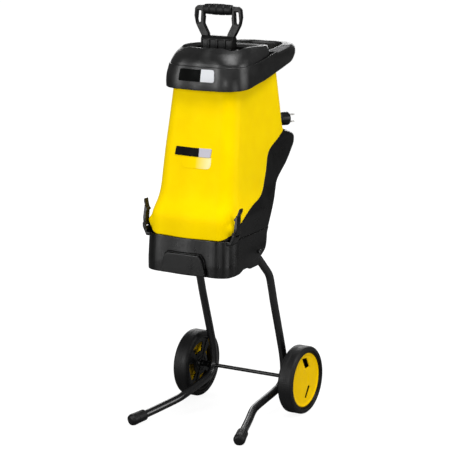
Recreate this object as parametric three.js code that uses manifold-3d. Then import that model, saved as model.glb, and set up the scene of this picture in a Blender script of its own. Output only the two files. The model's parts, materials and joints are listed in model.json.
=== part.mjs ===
// Electric garden shredder on a wheeled tube frame.
// Millimetres, +Z up, -Y is the front of the machine, ground at Z = 0.
// "Left" is -X and "right" is +X, as seen by someone facing the front.
// Positions are measured from the ground point under the axle; AXLE_SHIFT_Y then
// moves the whole assembly so that its bounding box is centred in Y.
import * as THREE from "three";
import { mergeVertices } from "three/addons/utils/BufferGeometryUtils.js";
import Module from "manifold-3d";

const wasm = await Module();
wasm.setup();

// ---------------------------------------------------------------- dimensions
const AXLE_SHIFT_Y = 107.25;

const WHEEL_R = 87.5;
const WHEEL_WIDTH = 41.4;
const WHEEL_X = 155.4; // middle plane of a wheel
const WHEEL_SEGMENTS = 22;
const AXLE_R = 5;
const RING_BORE_R = AXLE_R + 0.12; // rims and retaining rings
const LOOSE_BORE_R = AXLE_R + 0.3; // leg tubes and spacers

const TUBE_R = 10;
const TUBE_WALL = 1.8;
const LEG_X = 103; // leg tube centreline beside the housing
const LEG_SCREW = [-152, 447]; // Y, Z
const LEG_SCREW_HOLE_R = 3.3;

const SHELL_WALL = 3.5; // upper housing, rear housing and hopper top
const TRAY_WALL = 4;
const SKIRT_WALL = 4;
const DECK_Z = [482, 488]; // deck that closes the cutting chamber

const CUTTER_Y = -160; // vertical axis of motor and cutter
const MOTOR_AXIS = [0, CUTTER_Y];
const CUTTER_ORIGIN = [0, CUTTER_Y, 0];
const STATOR_R = 42;
const STATOR_BORE_R = 28.2;
const BEARING_R = 15.7;
const BEARING_BORE_R = 6.45;
const BEARING_SEAT_R = 16.2;
const DISC_R = 73;
const DISC_Z = [461, 467];
const DISC_BORE_R = 6.4; // also the bore of fan and nut
const BLADE_SCREW_X = 48;
const BLADE_SCREW_HOLE_R = 3.3;

const HINGE = [80, 733]; // Y, Z of the housing hinge
const HINGE_EYE_R = 6.8;
const HINGE_BORE_R = 3.35;

const LATCH = [127.5, -277, 516]; // pivot of the right latch
const LATCH_EYE_R = 4.6;
const LATCH_BARREL_R = 5;
const LATCH_BORE_R = 2.4;

const PLUNGER_Y = -145.5;
const PLUNGER_FRONT = PLUNGER_Y - 11.5;
const PLUNGER_REAR = PLUNGER_Y + 11.5;

const INLET = [72, 75, 745]; // end face of the mains inlet
const INLET_TURN = Math.PI / 6; // from straight back towards the right
const INLET_PIN_OFFSET = 9; // above and below the inlet axis
const SHELL_GAP = 0.4; // between the rear wall and what is mounted on it

const SIDES = [
  { side: "left", sign: -1 },
  { side: "right", sign: 1 },
];
const SIGNS = SIDES.map(({ sign }) => sign);

// ------------------------------------------------------------- solid helpers
function solid(shape) {
  if (!(shape instanceof THREE.BufferGeometry)) return shape;
  const bare = shape.clone();
  bare.deleteAttribute("normal");
  bare.deleteAttribute("uv");
  const welded = mergeVertices(bare, 1e-4);
  return new wasm.Manifold(
    new wasm.Mesh({
      numProp: 3,
      vertProperties: new Float32Array(welded.attributes.position.array),
      triVerts: new Uint32Array(welded.index.array),
    }),
  );
}

function geometry(shape) {
  if (shape instanceof THREE.BufferGeometry) return shape;
  const mesh = shape.getMesh();
  const result = new THREE.BufferGeometry();
  result.setAttribute("position", new THREE.Float32BufferAttribute(mesh.vertProperties, 3));
  result.setIndex(new THREE.Uint32BufferAttribute(mesh.triVerts, 1));
  result.computeVertexNormals();
  return result;
}

const cut = (base, ...tools) => tools.reduce((m, tool) => m.subtract(solid(tool)), solid(base));
const join = (base, ...parts) => parts.reduce((m, part) => m.add(solid(part)), solid(base));
const common = (a, b) => solid(a).intersect(solid(b));

function mirrorX(shape) {
  const mirrored = geometry(solid(shape)).scale(-1, 1, 1);
  const index = mirrored.index.array;
  for (let i = 0; i < index.length; i += 3) {
    [index[i + 1], index[i + 2]] = [index[i + 2], index[i + 1]];
  }
  mirrored.computeVertexNormals();
  return mirrored;
}

// ------------------------------------------------------------- shape helpers
const radians = (degrees) => (degrees * Math.PI) / 180;

// X range from inner to outer on the given side of the middle plane.
const span = (sign, inner, outer) => (sign > 0 ? [inner, outer] : [-outer, -inner]);

// Outline of straight runs with one arc between them; arc holds absarc's arguments.
function arcOutline(before, arc, after) {
  const shape = new THREE.Shape();
  shape.moveTo(...before[0]);
  for (const point of before.slice(1)) shape.lineTo(...point);
  if (arc) shape.absarc(...arc);
  for (const point of after) shape.lineTo(...point);
  shape.closePath();
  return shape;
}
const polygon = (points) => arcOutline(points, null, []);

// Outlines are lists of points or shapes.
const extrude = (outline, depth, options) =>
  new THREE.ExtrudeGeometry(Array.isArray(outline) ? polygon(outline) : outline, {
    depth,
    bevelEnabled: false,
    curveSegments: 8,
    ...options,
  });

const UNIT_X = new THREE.Vector3(1, 0, 0);
const UNIT_Y = new THREE.Vector3(0, 1, 0);
const UNIT_Z = new THREE.Vector3(0, 0, 1);

// Prism along X; the outline is in Y, Z.
const alongX = (outline, x0, x1, options) =>
  extrude(outline, x1 - x0, options)
    .applyMatrix4(new THREE.Matrix4().makeBasis(UNIT_Y, UNIT_Z, UNIT_X))
    .translate(x0, 0, 0);

// Prism along Y; the outline is in X, Z.
const alongY = (outline, y0, y1, options) =>
  extrude(outline, y1 - y0, options)
    .applyMatrix4(new THREE.Matrix4().makeBasis(UNIT_X, UNIT_Z, UNIT_Y.clone().negate()))
    .translate(0, y1, 0);

const box = (x0, x1, y0, y1, z0, z1) =>
  new THREE.BoxGeometry(x1 - x0, y1 - y0, z1 - z0)
    .translate((x0 + x1) / 2, (y0 + y1) / 2, (z0 + z1) / 2);

// centre holds the two coordinates other than the axis, in X, Y, Z order.
function cylinder(axis, radius, start, end, centre, segments, endRadius = radius) {
  const result = new THREE.CylinderGeometry(endRadius, radius, end - start, segments, 1);
  const middle = (start + end) / 2;
  const [a, b] = centre;
  if (axis === "x") return result.rotateZ(-Math.PI / 2).translate(middle, a, b);
  if (axis === "y") return result.translate(a, middle, b);
  return result.rotateX(Math.PI / 2).translate(a, b, middle);
}

// Profile points are radius, height along the axis.
function lathe(profile, axis, segments) {
  // the profile has to run counter-clockwise for the faces to point outwards
  const area = profile.reduce((total, [r, height], i) => {
    const [nextR, nextHeight] = profile[(i + 1) % profile.length];
    return total + r * nextHeight - nextR * height;
  }, 0);
  const points = area < 0 ? [...profile].reverse() : profile;
  const result = new THREE.LatheGeometry(
    points.map(([r, height]) => new THREE.Vector2(r, height)), segments);
  if (axis === "x") result.rotateZ(-Math.PI / 2);
  if (axis === "z") result.rotateX(Math.PI / 2);
  return result;
}

const collar = (boreR, r, start, end, axis, segments) =>
  lathe([[boreR, start], [r, start], [r, end], [boreR, end], [boreR, start]], axis, segments);

// Plan outline with rounded corners, counter-clockwise from above. Widths are half
// widths, crown bows the front outwards, inset shrinks the whole outline.
function plan({
  width, rearWidth = width, front, rear, radius, rearRadius = radius,
  crown = 0, steps = 3, inset = 0,
}) {
  const points = [];
  const corner = (x, y, r, startAngle, count) => {
    for (let i = 0; i <= count; i++) {
      const angle = radians(startAngle + (90 * i) / count);
      points.push([x + r * Math.cos(angle), y + r * Math.sin(angle)]);
    }
  };
  const frontR = radius - inset;
  const rearR = rearRadius - inset;
  const frontX = width - inset - frontR;
  const rearX = rearWidth - inset - rearR;
  const frontY = front + inset;
  const rearY = rear - inset;
  const rearSteps = Math.min(steps, 2);
  corner(-frontX, frontY + frontR, frontR, 180, steps);
  for (const t of [-0.45, 0.45]) points.push([t * frontX, frontY - crown * (1 - t * t)]);
  corner(frontX, frontY + frontR, frontR, 270, steps);
  corner(rearX, rearY - rearR, rearR, 0, rearSteps);
  corner(-rearX, rearY - rearR, rearR, 90, rearSteps);
  return points;
}

// Skin through stacked [z, outline] levels: an extruded disc whose layers take their shape.
function loft(levels) {
  const count = levels[0][1].length;
  const disc = [];
  for (let k = 0; k < count; k++) {
    const angle = (2 * Math.PI * k) / count;
    disc.push([Math.cos(angle), Math.sin(angle)]);
  }
  const skin = extrude(disc, 1, { steps: levels.length - 1 });
  const position = skin.attributes.position;
  for (let i = 0; i < position.count; i++) {
    const turn = Math.atan2(position.getY(i), position.getX(i)) / (2 * Math.PI);
    const k = (Math.round(turn * count) + count) % count;
    const [z, points] = levels[Math.round(position.getZ(i) * (levels.length - 1))];
    position.setXYZ(i, points[k][0], points[k][1], z);
  }
  return skin;
}

// Height change that moves the first and the last level of a loft inwards.
const endShift = (i, levels, inwards) =>
  i === 0 ? inwards : i === levels.length - 1 ? -inwards : 0;

function tube(points, radius, boreRadius, steps, curveSegments) {
  const section = new THREE.Shape();
  section.absarc(0, 0, radius, 0, 2 * Math.PI, false);
  if (boreRadius) {
    const bore = new THREE.Path();
    bore.absarc(0, 0, boreRadius, 0, 2 * Math.PI, true);
    section.holes.push(bore);
  }
  const extrudePath = new THREE.CatmullRomCurve3(
    points.map((point) => new THREE.Vector3(...point)), false, "centripetal");
  return new THREE.ExtrudeGeometry(section, {
    steps, curveSegments, bevelEnabled: false, extrudePath });
}

// ------------------------------------------------------- groups and materials
const group = new THREE.Group();
group.name = "garden_shredder";
const frame = new THREE.Group();
frame.name = "axle_frame";
frame.position.y = AXLE_SHIFT_Y;
group.add(frame);

function body(name) {
  const result = new THREE.Group();
  result.name = name;
  frame.add(result);
  return result;
}
const chassis = body("body_chassis");
const upper = body("body_upper");
const plunger = body("body_plunger");
const cutter = body("body_cutter");

const MATERIALS = {
  yellow: { color: 0xf2cc00, roughness: 0.38, metalness: 0 },
  black: { color: 0x1f2022, roughness: 0.5, metalness: 0 },
  hopper: { color: 0x2b2c2e, roughness: 0.45, metalness: 0 },
  tube: { color: 0x141415, roughness: 0.3, metalness: 0.3 },
  steel: { color: 0x9a9ea3, roughness: 0.35, metalness: 1 },
  zinc: { color: 0xb4b7ba, roughness: 0.4, metalness: 1 },
  rubber: { color: 0x18181a, roughness: 0.85, metalness: 0 },
  iron: { color: 0x6b6e72, roughness: 0.55, metalness: 0.9 },
  copper: { color: 0x9c5a32, roughness: 0.4, metalness: 0.9 },
  cast: { color: 0xa6a8aa, roughness: 0.5, metalness: 0.9 },
  white: { color: 0xe9eaec, roughness: 0.5, metalness: 0 },
  silver: { color: 0xc9cbce, roughness: 0.35, metalness: 0.2 },
  grey: { color: 0x86888b, roughness: 0.6, metalness: 0 },
  green: { color: 0x2f8f46, roughness: 0.4, metalness: 0 },
  red: { color: 0xb5221d, roughness: 0.4, metalness: 0 },
  brass: { color: 0xb9964a, roughness: 0.35, metalness: 1 },
};

function add(parent, name, shape, material, position = [0, 0, 0], turnZ = 0) {
  const mesh = new THREE.Mesh(
    geometry(shape), new THREE.MeshStandardMaterial(MATERIALS[material]));
  mesh.name = name;
  mesh.position.set(...position);
  mesh.rotation.z = turnZ;
  parent.add(mesh);
}

// Adds a piece modelled for the right side, mirrored when it goes on the left.
function addSided(parent, name, { side, sign }, shape, material, [x, y, z] = [0, 0, 0]) {
  const sided = sign > 0 ? shape : mirrorX(shape);
  add(parent, `${name}_${side}`, sided, material, [sign * x, y, z]);
}

// ------------------------------------------------------------- housing shells
// height, half width at the front, half width at the rear, front face, rear face
const ENVELOPE = [
  [496.7, 121, 110, -297, -64],
  [542, 121, 105, -295, -32],
  [560, 117, 103, -288, -21],
  [580, 112, 101, -278, -12],
  [602, 108.5, 98.5, -271.5, 0],
  [620, 107, 97.5, -268, 21],
  [640, 106, 96.5, -264.5, 49],
  [668, 104.2, 95, -260, 78],
  [690, 103, 94.5, -256.5, 94],
  [699, 102.5, 94, -255, 95],
  [709, 102, 94, -253.5, 87],
  [724.4, 101, 94, -250.5, 42],
  [726, 101, 96, -250.5, 35],
  [785, 97.2, 95, -240.5, 20],
  [893, 91, 90.5, -223.5, 2],
];
// Inside of the shells, same columns; the roof of the rear bulge keeps a full wall.
const INSIDE = [
  [495, 117.5, 106.5, -293.5, -68],
  [542, 117.3, 101.5, -291.3, -36],
  [560, 113.4, 99.5, -284.3, -25],
  [580, 108.5, 97.5, -274.4, -16],
  [602, 105, 95, -268, -4.5],
  [640, 102.5, 93, -261, 44],
  [668, 100.7, 91.5, -256.5, 73],
  [690, 99.5, 91, -253, 89],
  [697, 99, 90.5, -251.8, 88],
  [704, 98.6, 90.5, -250.6, 79],
  [711, 98.2, 90.5, -249.4, 55],
  [722, 97.6, 91, -247.4, 31],
  [785, 93.7, 91.4, -237, 16.4],
  [895, 87.4, 87, -219.7, -1.6],
];
const SHELL_REAR_RADIUS = 36;
const shellFrontRadius = (z) => (z < 570 ? 44 : z < 650 ? 40 : 36);
const shellCrown = (z) => (z < 570 ? 8 : z < 650 ? 6 : 5);

const envelope = (inset = 0) =>
  loft(ENVELOPE.map(([z, width, rearWidth, front, rear], i) => [
    z + endShift(i, ENVELOPE, inset),
    plan({
      width, rearWidth, front, rear, inset,
      radius: shellFrontRadius(z), rearRadius: SHELL_REAR_RADIUS, crown: shellCrown(z),
    }),
  ]));
const inside = loft(INSIDE.map(([z, width, rearWidth, front, rear]) => [
  z,
  plan({
    width, rearWidth, front, rear,
    radius: shellFrontRadius(z) - SHELL_WALL,
    rearRadius: SHELL_REAR_RADIUS - SHELL_WALL,
    crown: shellCrown(z),
  }),
]));

// Y, Z of the seam between the yellow housing and the black rear shell
const SEAM = [
  [-292, 499], [-262, 523], [-226, 542], [-194, 556], [-162, 567], [-128, 577],
  [-107, 593], [-97, 612], [-86, 639], [-79, 666], [-69, 684], [-49, 696],
  [-22, 708], [16, 724.7], [60, 724.7],
];
// Everything behind and below the seam, moved back and down by the gap.
function behindSeam(gap) {
  const back = gap * 0.6;
  const down = gap * 0.8;
  return alongX([
    ...SEAM.map(([y, z]) => [y + back, z - down]),
    [150, 724.7 - down], [150, 480], [-292 + back, 480],
  ], -150, 150);
}

const hingeBore = () => cylinder("x", HINGE_BORE_R, -40, 40, HINGE, 12);

function latchLug(sign) {
  const lug = new THREE.SphereGeometry(1, 10, 6)
    .scale(10, 13, 17)
    .translate(sign * 113.2, -278, 525);
  return cut(lug,
    box(-112, 112, -400, 0, 400, 700),
    common(behindSeam(0), box(-120, 120, -400, 0, 400, 700)));
}

function hingeArm(sign) {
  const [y, z] = HINGE;
  const bottom = z - HINGE_EYE_R;
  const outline = arcOutline(
    [[27, bottom], [y, bottom]],
    [y, z, HINGE_EYE_R, -Math.PI / 2, Math.PI / 2, false],
    [[52, 741.5], [27, 760]]);
  return alongX(outline, ...span(sign, 14, 24), { curveSegments: 6 });
}

function upperHousing() {
  const shell = join(
    cut(envelope(), inside, behindSeam(0)), ...SIGNS.map(latchLug), ...SIGNS.map(hingeArm));
  return cut(shell, hingeBore(), inside);
}
add(upper, "upper_housing", upperHousing(), "yellow");

// Central knuckle on the roof of the rear bulge.
function hingeKnuckle() {
  const [y, z] = HINGE;
  const outline = arcOutline(
    [[62, 712], [92, 706], [y + HINGE_EYE_R, z]],
    [y, z, HINGE_EYE_R, 0, Math.PI, false], []);
  return cut(alongX(outline, -13.6, 13.6), inside);
}

function rearHousing() {
  const seamGap = 0.5;
  const louvre = { count: 5, z: 545, pitch: 17, height: 5 };
  let shell = cut(common(envelope(), behindSeam(seamGap)), inside);
  for (let i = 0; i < louvre.count; i++) {
    const z = louvre.z + i * louvre.pitch;
    shell = cut(shell, box(-48, 48, -60, 80, z, z + louvre.height));
  }
  return cut(join(shell, hingeKnuckle()), hingeBore());
}
add(chassis, "rear_housing", rearHousing(), "black");

const hingePin = lathe(
  [[0, -26.5], [3, -26.5], [3, 24.4], [5.2, 24.4], [5.2, 27], [0, 27]], "x", 12);
add(chassis, "hinge_pin", hingePin, "steel", [0, ...HINGE]);

// ------------------------------------------------------------- lower housing
// X, Y, Z of the right leg tube's centreline, from the housing down to the foot
const LEG = [
  [LEG_X, -166, 461], [LEG_X, -142, 437], [104, -100, 396], [105, -76, 370],
  [105, -63, 335], [105, -52, 298], [105, -32, 238], [105, -14, 184], [105, -3, 148],
  [105, 3.2, 116], [105, 2, 87.5], [105, -14, 68.5], [105, -45, 59], [105, -100, 50],
  [106, -146, 42.4], [109, -163, 38.8], [124, -210, 29.2], [140, -262, 20.2],
  [154, -305, 13.6],
];
// height, half width at the front, half width at the rear, front face, rear face
const TRAY = [
  [402, 124.8, 116.3, -308.5, -118],
  [430, 125, 116.5, -308.4, -111],
  [446, 124.7, 116.5, -307.6, -91],
  [467, 124.2, 113, -306.3, -77],
  [484, 123.7, 111.5, -305.2, -72],
  [496.4, 123.2, 111, -304.4, -64],
];
const TRAY_TOP = 496.4;
// height of a level of the tray's inside, row of TRAY that gives its outline
const TRAY_INSIDE = [[390, 0], [430, 1], [446, 2], [467, 3], [500, 5]];
// Y, Z of the tray in side view
const TRAY_SIDE = [
  [-340, 406.5], [-292, 406.5], [-270, 410], [-252, 411.5], [-236, 417], [-214, 418],
  [-196, 412], [-150, 412], [-141, 420], [-116, 420], [-108, 430], [-60, 440],
  [-20, 520], [-340, 520],
];
// front face of each latch ear, X of its root
const LATCH_EARS = [[-291.5, 103], [-267.6, 114]];

const trayPlan = ([, width, rearWidth, front, rear], inset) =>
  plan({ width, rearWidth, front, rear, radius: 46, rearRadius: 35, crown: 5, inset });
const trayOuter = (inset) => loft(TRAY.map((row) => [row[0], trayPlan(row, inset)]));

function latchEar(sign, y, rootX) {
  const [x, , z] = LATCH;
  const outline = arcOutline(
    [
      [sign * rootX, 488], [sign * rootX, TRAY_TOP], [sign * 121.6, 504],
      [sign * (x - LATCH_EYE_R), z],
    ],
    [sign * x, z, LATCH_EYE_R, sign > 0 ? Math.PI : 0, sign > 0 ? 0 : Math.PI, sign > 0],
    [[sign * 131, 508], [sign * 121, 488]]);
  return cut(alongY(outline, y, y + 5), box(-119.6, 119.6, -400, 0, TRAY_TOP, 700));
}

// Leg socket, with a slot through the outer wall and the screw hole.
function legOpenings(sign) {
  const path = [[LEG_X, -172, 467], ...LEG.slice(0, 5)].map(([x, y, z]) => [sign * x, y, z]);
  return [
    tube(path, TUBE_R + 0.6, 0, 6, 5),
    alongX([[-148, 428], [-134, 442], [-90, 398], [-104, 384]], ...span(sign, 100, 130)),
    cylinder("x", LEG_SCREW_HOLE_R, ...span(sign, 80, 130), LEG_SCREW, 8),
  ];
}

function lowerHousing() {
  const body = common(trayOuter(0), alongX(TRAY_SIDE, -150, 150));
  const inner = loft(TRAY_INSIDE.map(([z, row]) => [z, trayPlan(TRAY[row], TRAY_WALL)]));
  let tray = cut(body, cut(inner, box(-150, 150, -400, 0, ...DECK_Z)));
  // floor at the rear
  tray = join(tray, common(body, box(-116, 116, -128, -60, 380, 424)));
  // blocks around the leg sockets
  for (const sign of SIGNS) {
    tray = join(tray, common(body, box(...span(sign, 86, 117), -186, -104, 400, 478)));
  }
  for (const sign of SIGNS) {
    for (const [y, rootX] of LATCH_EARS) tray = join(tray, latchEar(sign, y, rootX));
  }
  for (const x of [LATCH[0], -LATCH[0]]) {
    tray = cut(tray, cylinder("y", LATCH_BORE_R, -295, -260, [x, LATCH[2]], 12));
  }
  // feed mouth and shaft hole in the deck
  const mouth = plan({ width: 50, front: -249, rear: -211, radius: 8, steps: 2 });
  tray = cut(tray, loft([[470, mouth], [495, mouth]]), cylinder("z", 17, 470, 495, MOTOR_AXIS, 16));
  return cut(tray, ...SIGNS.flatMap(legOpenings));
}
add(chassis, "lower_housing", lowerHousing(), "black");

// Raised panel on the front of the tray.
function dischargePanel() {
  const outline = [[-62, 411.5], [62, 411.5], [52, 446], [43, 457], [-43, 457], [-52, 446]];
  const bevel = { bevelEnabled: true, bevelThickness: 1.5, bevelSize: 2.5, bevelSegments: 1 };
  return cut(alongY(outline, -318.5, -300, bevel), trayOuter(-0.3));
}
add(chassis, "discharge_panel", dischargePanel(), "black");

// ------------------------------------------------------------- legs and axle
const legTube = () =>
  cut(tube(LEG, TUBE_R, TUBE_R - TUBE_WALL, 17, 4),
    cylinder("x", LOOSE_BORE_R, 90, 120, [0, WHEEL_R], 14),
    cylinder("x", LEG_SCREW_HOLE_R, 90, 120, LEG_SCREW, 8));

// Sleeve cap along the last stretch of the tube, with a flat sole on the ground.
function footCap() {
  const [before, end] = LEG.slice(-2).map((point) => new THREE.Vector3(...point));
  const direction = end.clone().sub(before).normalize();
  const cap = lathe([
    [0, 13.6], [6, 13], [11.5, 10], [14.3, 4.5], [13.9, -8], [13.4, -26],
    [10.5, -27], [10.5, 3.5], [0, 3.5],
  ], "z", 14)
    .applyQuaternion(new THREE.Quaternion().setFromUnitVectors(UNIT_Z, direction))
    .translate(end.x, end.y, end.z);
  return cut(cap, box(100, 220, -360, -260, -20, 0));
}

// Screw through the socket and the tube.
const legScrew = () =>
  lathe([
    [0, 84], [3, 84], [3, 120.5], [5.8, 120.5], [5.8, 122], [4.4, 123.4], [0, 123.4],
  ], "x", 10);

// Spacer on the axle between the tube and the wheel.
const axleSpacer = () => collar(LOOSE_BORE_R, 8.5, 115.8, 138.2, "x", 14);

// Retaining ring at the axle end.
const axleClip = () =>
  lathe([
    [RING_BORE_R, 160.2], [9.5, 160.2], [9.5, 161], [8, 162.2], [RING_BORE_R, 162.2],
    [RING_BORE_R, 160.2],
  ], "x", 16);

const AXLE_ORIGIN = [0, 0, WHEEL_R];
for (const side of SIDES) {
  addSided(chassis, "leg_tube", side, legTube(), "tube");
  addSided(chassis, "foot_cap", side, footCap(), "rubber");
  addSided(chassis, "leg_screw", side, legScrew(), "tube", [0, ...LEG_SCREW]);
  addSided(chassis, "axle_spacer", side, axleSpacer(), "black", AXLE_ORIGIN);
  addSided(chassis, "axle_clip", side, axleClip(), "zinc", AXLE_ORIGIN);
}
const axleRod = lathe([
  [0, -162.9], [4.2, -162.9], [AXLE_R, -162], [AXLE_R, 162], [4.2, 162.9], [0, 162.9],
], "x", 16);
add(chassis, "axle_rod", axleRod, "tube", AXLE_ORIGIN);

// -------------------------------------------------------------------- wheels
// Profiles run from the inner face (towards the machine) to the outer face.
const HALF_WHEEL = WHEEL_WIDTH / 2;

const tyre = () =>
  lathe([
    [74.4, -HALF_WHEEL], [82, -HALF_WHEEL], [WHEEL_R, -HALF_WHEEL + 6],
    [WHEEL_R, HALF_WHEEL - 6], [82, HALF_WHEEL], [74.4, HALF_WHEEL], [74.4, -HALF_WHEEL],
  ], "x", WHEEL_SEGMENTS);

// Rim with four windows through its web.
function rim() {
  let result = lathe([
    [RING_BORE_R, -16.7], [12, -16.7], [14, -13], [66, -13], [69, -HALF_WHEEL + 1.5],
    [73.8, -HALF_WHEEL + 1.5], [73.8, HALF_WHEEL - 2.5], [71.2, HALF_WHEEL - 2.5],
    [68, -9], [14, -9], [14, 4.4], [RING_BORE_R, 4.4], [RING_BORE_R, -16.7],
  ], "x", WHEEL_SEGMENTS);
  for (let k = 0; k < 4; k++) {
    const middle = k * 90 + 17;
    const start = radians(middle - 27);
    const end = radians(middle + 27);
    const window = new THREE.Shape();
    window.absarc(0, 0, 57, start, end, false);
    window.absarc(0, 0, 32, end, start, true);
    window.closePath();
    result = cut(result, alongX(window, -17, -5, { curveSegments: 2 }));
  }
  return result;
}

// Cover disc with two slanted openings.
const hubDisc = () =>
  cut(
    lathe([
      [0, 13.6], [61, 13.6], [65, 15], [68.4, 16.3], [70.2, 14.5], [69.6, 11.2], [0, 11.2],
    ], "x", WHEEL_SEGMENTS),
    alongX([[-17, 59.5], [0.5, 29], [23, 30], [8, 56]], 0, 20),
    alongX([[25.8, -23], [23, -21], [1.9, -49], [4.7, -51]], 0, 20));

for (const side of SIDES) {
  const wheel = body("body_wheel_" + side.side);
  const centre = [WHEEL_X, 0, WHEEL_R];
  addSided(wheel, "tyre", side, tyre(), "rubber", centre);
  addSided(wheel, "rim", side, rim(), "black", centre);
  addSided(wheel, "hub_disc", side, hubDisc(), "yellow", centre);
}

// -------------------------------------------------------------------- hopper
// height, half width, front, rear, front corner radius, narrowing towards the rear
const TOP_TIER = [
  [898, 106.4, -240.4, -38, 56, 11],
  [912, 106, -239.8, -38, 56, 11],
  [922, 103, -236.4, -38.6, 54, 9],
  [934, 97, -229, -40, 50, 6],
  [943, 90.5, -220, -42, 46, 5],
  [951, 83, -209, -45, 42, 5],
];
// height, half width front, half width rear, front, rear, corner radius front, rear
const SKIRT = [
  [840, 112.6, 90, -247.5, 97, 58, 60],
  [862, 114, 92, -249.5, 99, 60, 62],
  [895, 112.6, 95, -247.5, 102, 60, 64],
  [925, 111.4, 97, -244.6, 104.5, 60, 66],
  [947, 110.6, 96, -243, 103, 60, 64],
];
// Y, Z of the skirt's lower and upper edges in side view
const SKIRT_BOTTOM = [
  [-300, 843], [-236, 845.5], [-190, 855], [-140, 866], [-65, 878], [-10, 886],
  [62, 897], [92, 910], [130, 929],
];
const SKIRT_TOP = [
  [130, 938.5], [60, 937.5], [20, 934], [-40, 926.5], [-86, 918.5], [-164, 908.5],
  [-300, 906],
];
// height, half width, front, rear, corner radius
const THROAT = [
  [880, 72, -200, -94, 16],
  [925, 73, -201, -90, 18],
  [960, 80, -208, -62, 24],
];
const FUNNEL = [
  [490, 52, -251, -209, 10],
  [650, 56, -239, -206, 10],
  [800, 66, -224, -128, 14],
  [926, 76, -213, -80, 18],
];

const skirtOuter = (inset) =>
  loft(SKIRT.map(([z, width, rearWidth, front, rear, radius, rearRadius]) => [
    z,
    plan({ width, rearWidth, front, rear, radius, rearRadius, inset, crown: 5, steps: 4 }),
  ]));

// Side profile of the skirt with its two edges raised.
const skirtProfile = (raiseBottom, raiseTop) =>
  alongX([
    ...SKIRT_BOTTOM.map(([y, z]) => [y, z + raiseBottom]),
    ...SKIRT_TOP.map(([y, z]) => [y, z + raiseTop]),
  ], -160, 160);

// Hand hole in front of the rear handle bar.
const handHole = (front, rear, z0, z1) =>
  loft([z0, z1].map((z) =>
    [z, plan({ width: 74, rearWidth: 70, front, rear, radius: 14, rearRadius: 44 })]));

function hopperSkirt() {
  const outer = common(skirtOuter(0), skirtProfile(0, 0));
  const hollow = common(
    common(skirtOuter(SKIRT_WALL), skirtProfile(5, 60)),
    box(-150, 150, -400, -37.4, 800, 1000));
  const skirt = cut(outer, hollow, envelope(-0.5),
    handHole(-23, 81, 899.5, 990), handHole(13, 81, 800, 990));
  // seats of the grip inlays on the two arms
  const seat = [[-32, 923.4], [38, 931.7], [38, 960], [-32, 960]];
  return cut(skirt, ...SIGNS.map((sign) => alongX(seat, ...span(sign, 80, 120))));
}
add(upper, "hopper_skirt", hopperSkirt(), "hopper");

// Inlay on one arm of the rear handle.
function carryGrip(sign) {
  const outline = [[-31.7, 923.8], [37.7, 932.1], [37.7, 935.9], [20, 934.4], [-31.7, 928]];
  return common(
    common(skirtOuter(0.4), alongX(outline, ...span(sign, 80.3, 120))),
    cut(box(-200, 200, -400, 400, 800, 1000), handHole(-23.4, 81.4, 899.5, 990)));
}
for (const { side, sign } of SIDES) add(upper, "carry_grip_" + side, carryGrip(sign), "grey");

// Upper tier; an inset copy also reaches lower, to open the underside.
const topTier = (inset) =>
  loft(TOP_TIER.map(([z, width, front, rear, radius, narrowing], i) => [
    z - (i === 0 && inset > 0 ? 4 : 0),
    plan({
      width, rearWidth: width - narrowing, front, rear, radius, rearRadius: 30,
      inset, crown: 5, steps: 4,
    }),
  ]));

// Everything under the tilted top plane of the tier, raised by the given height.
const underRim = (raise) =>
  alongX([
    [-300, 800], [-300, 952 + raise], [-226, 949 + raise], [-54, 937 + raise],
    [0, 933 + raise], [0, 800],
  ], -150, 150);

const plungerRest = (sign) =>
  common(
    box(...span(sign, 47.5, 92), PLUNGER_Y - 13, PLUNGER_Y + 13, 931, 936.5),
    cut(topTier(1), underRim(-60)));

// Upper tier with the throat and two rests for the plunger.
function hopperTop() {
  const throat = loft(THROAT.map(([z, width, front, rear, radius]) =>
    [z, plan({ width, front, rear, radius })]));
  const top = cut(
    common(topTier(0), underRim(0)), common(topTier(SHELL_WALL), underRim(-9)), throat);
  return join(top, plungerRest(1), plungerRest(-1));
}
add(upper, "hopper_top", hopperTop(), "hopper");

// Funnel from the throat down to the deck.
function feedFunnel() {
  const skin = (inset, overrun) =>
    loft(FUNNEL.map(([z, width, front, rear, radius], i) => [
      z + endShift(i, FUNNEL, -overrun),
      plan({ width, front, rear, radius, inset, steps: 2 }),
    ]));
  return cut(skin(0, 0), skin(2.5, 2));
}
add(upper, "feed_funnel", feedFunnel(), "black");

// Blank plate that follows a surface, 0.3 mm off it.
const plate = (outline, y0, y1, surface, outerOffset) =>
  common(cut(alongY(outline, y0, y1), surface(-0.3)), surface(-outerOffset));
const badge = (outline) => plate(outline, -290, -240, skirtOuter, 2);
add(upper, "badge_dark", badge([[-51, 871], [13, 871], [13, 900], [-48, 900]]), "black");
add(upper, "badge_light", badge([[13.6, 871], [50, 871], [47, 901], [13.6, 901]]), "white");
const NAME_PLATE = [[-58, 690], [44, 690], [46, 711], [-55, 711]];
add(upper, "name_plate", plate(NAME_PLATE, -266, -250, envelope, 1.6), "silver");

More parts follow.
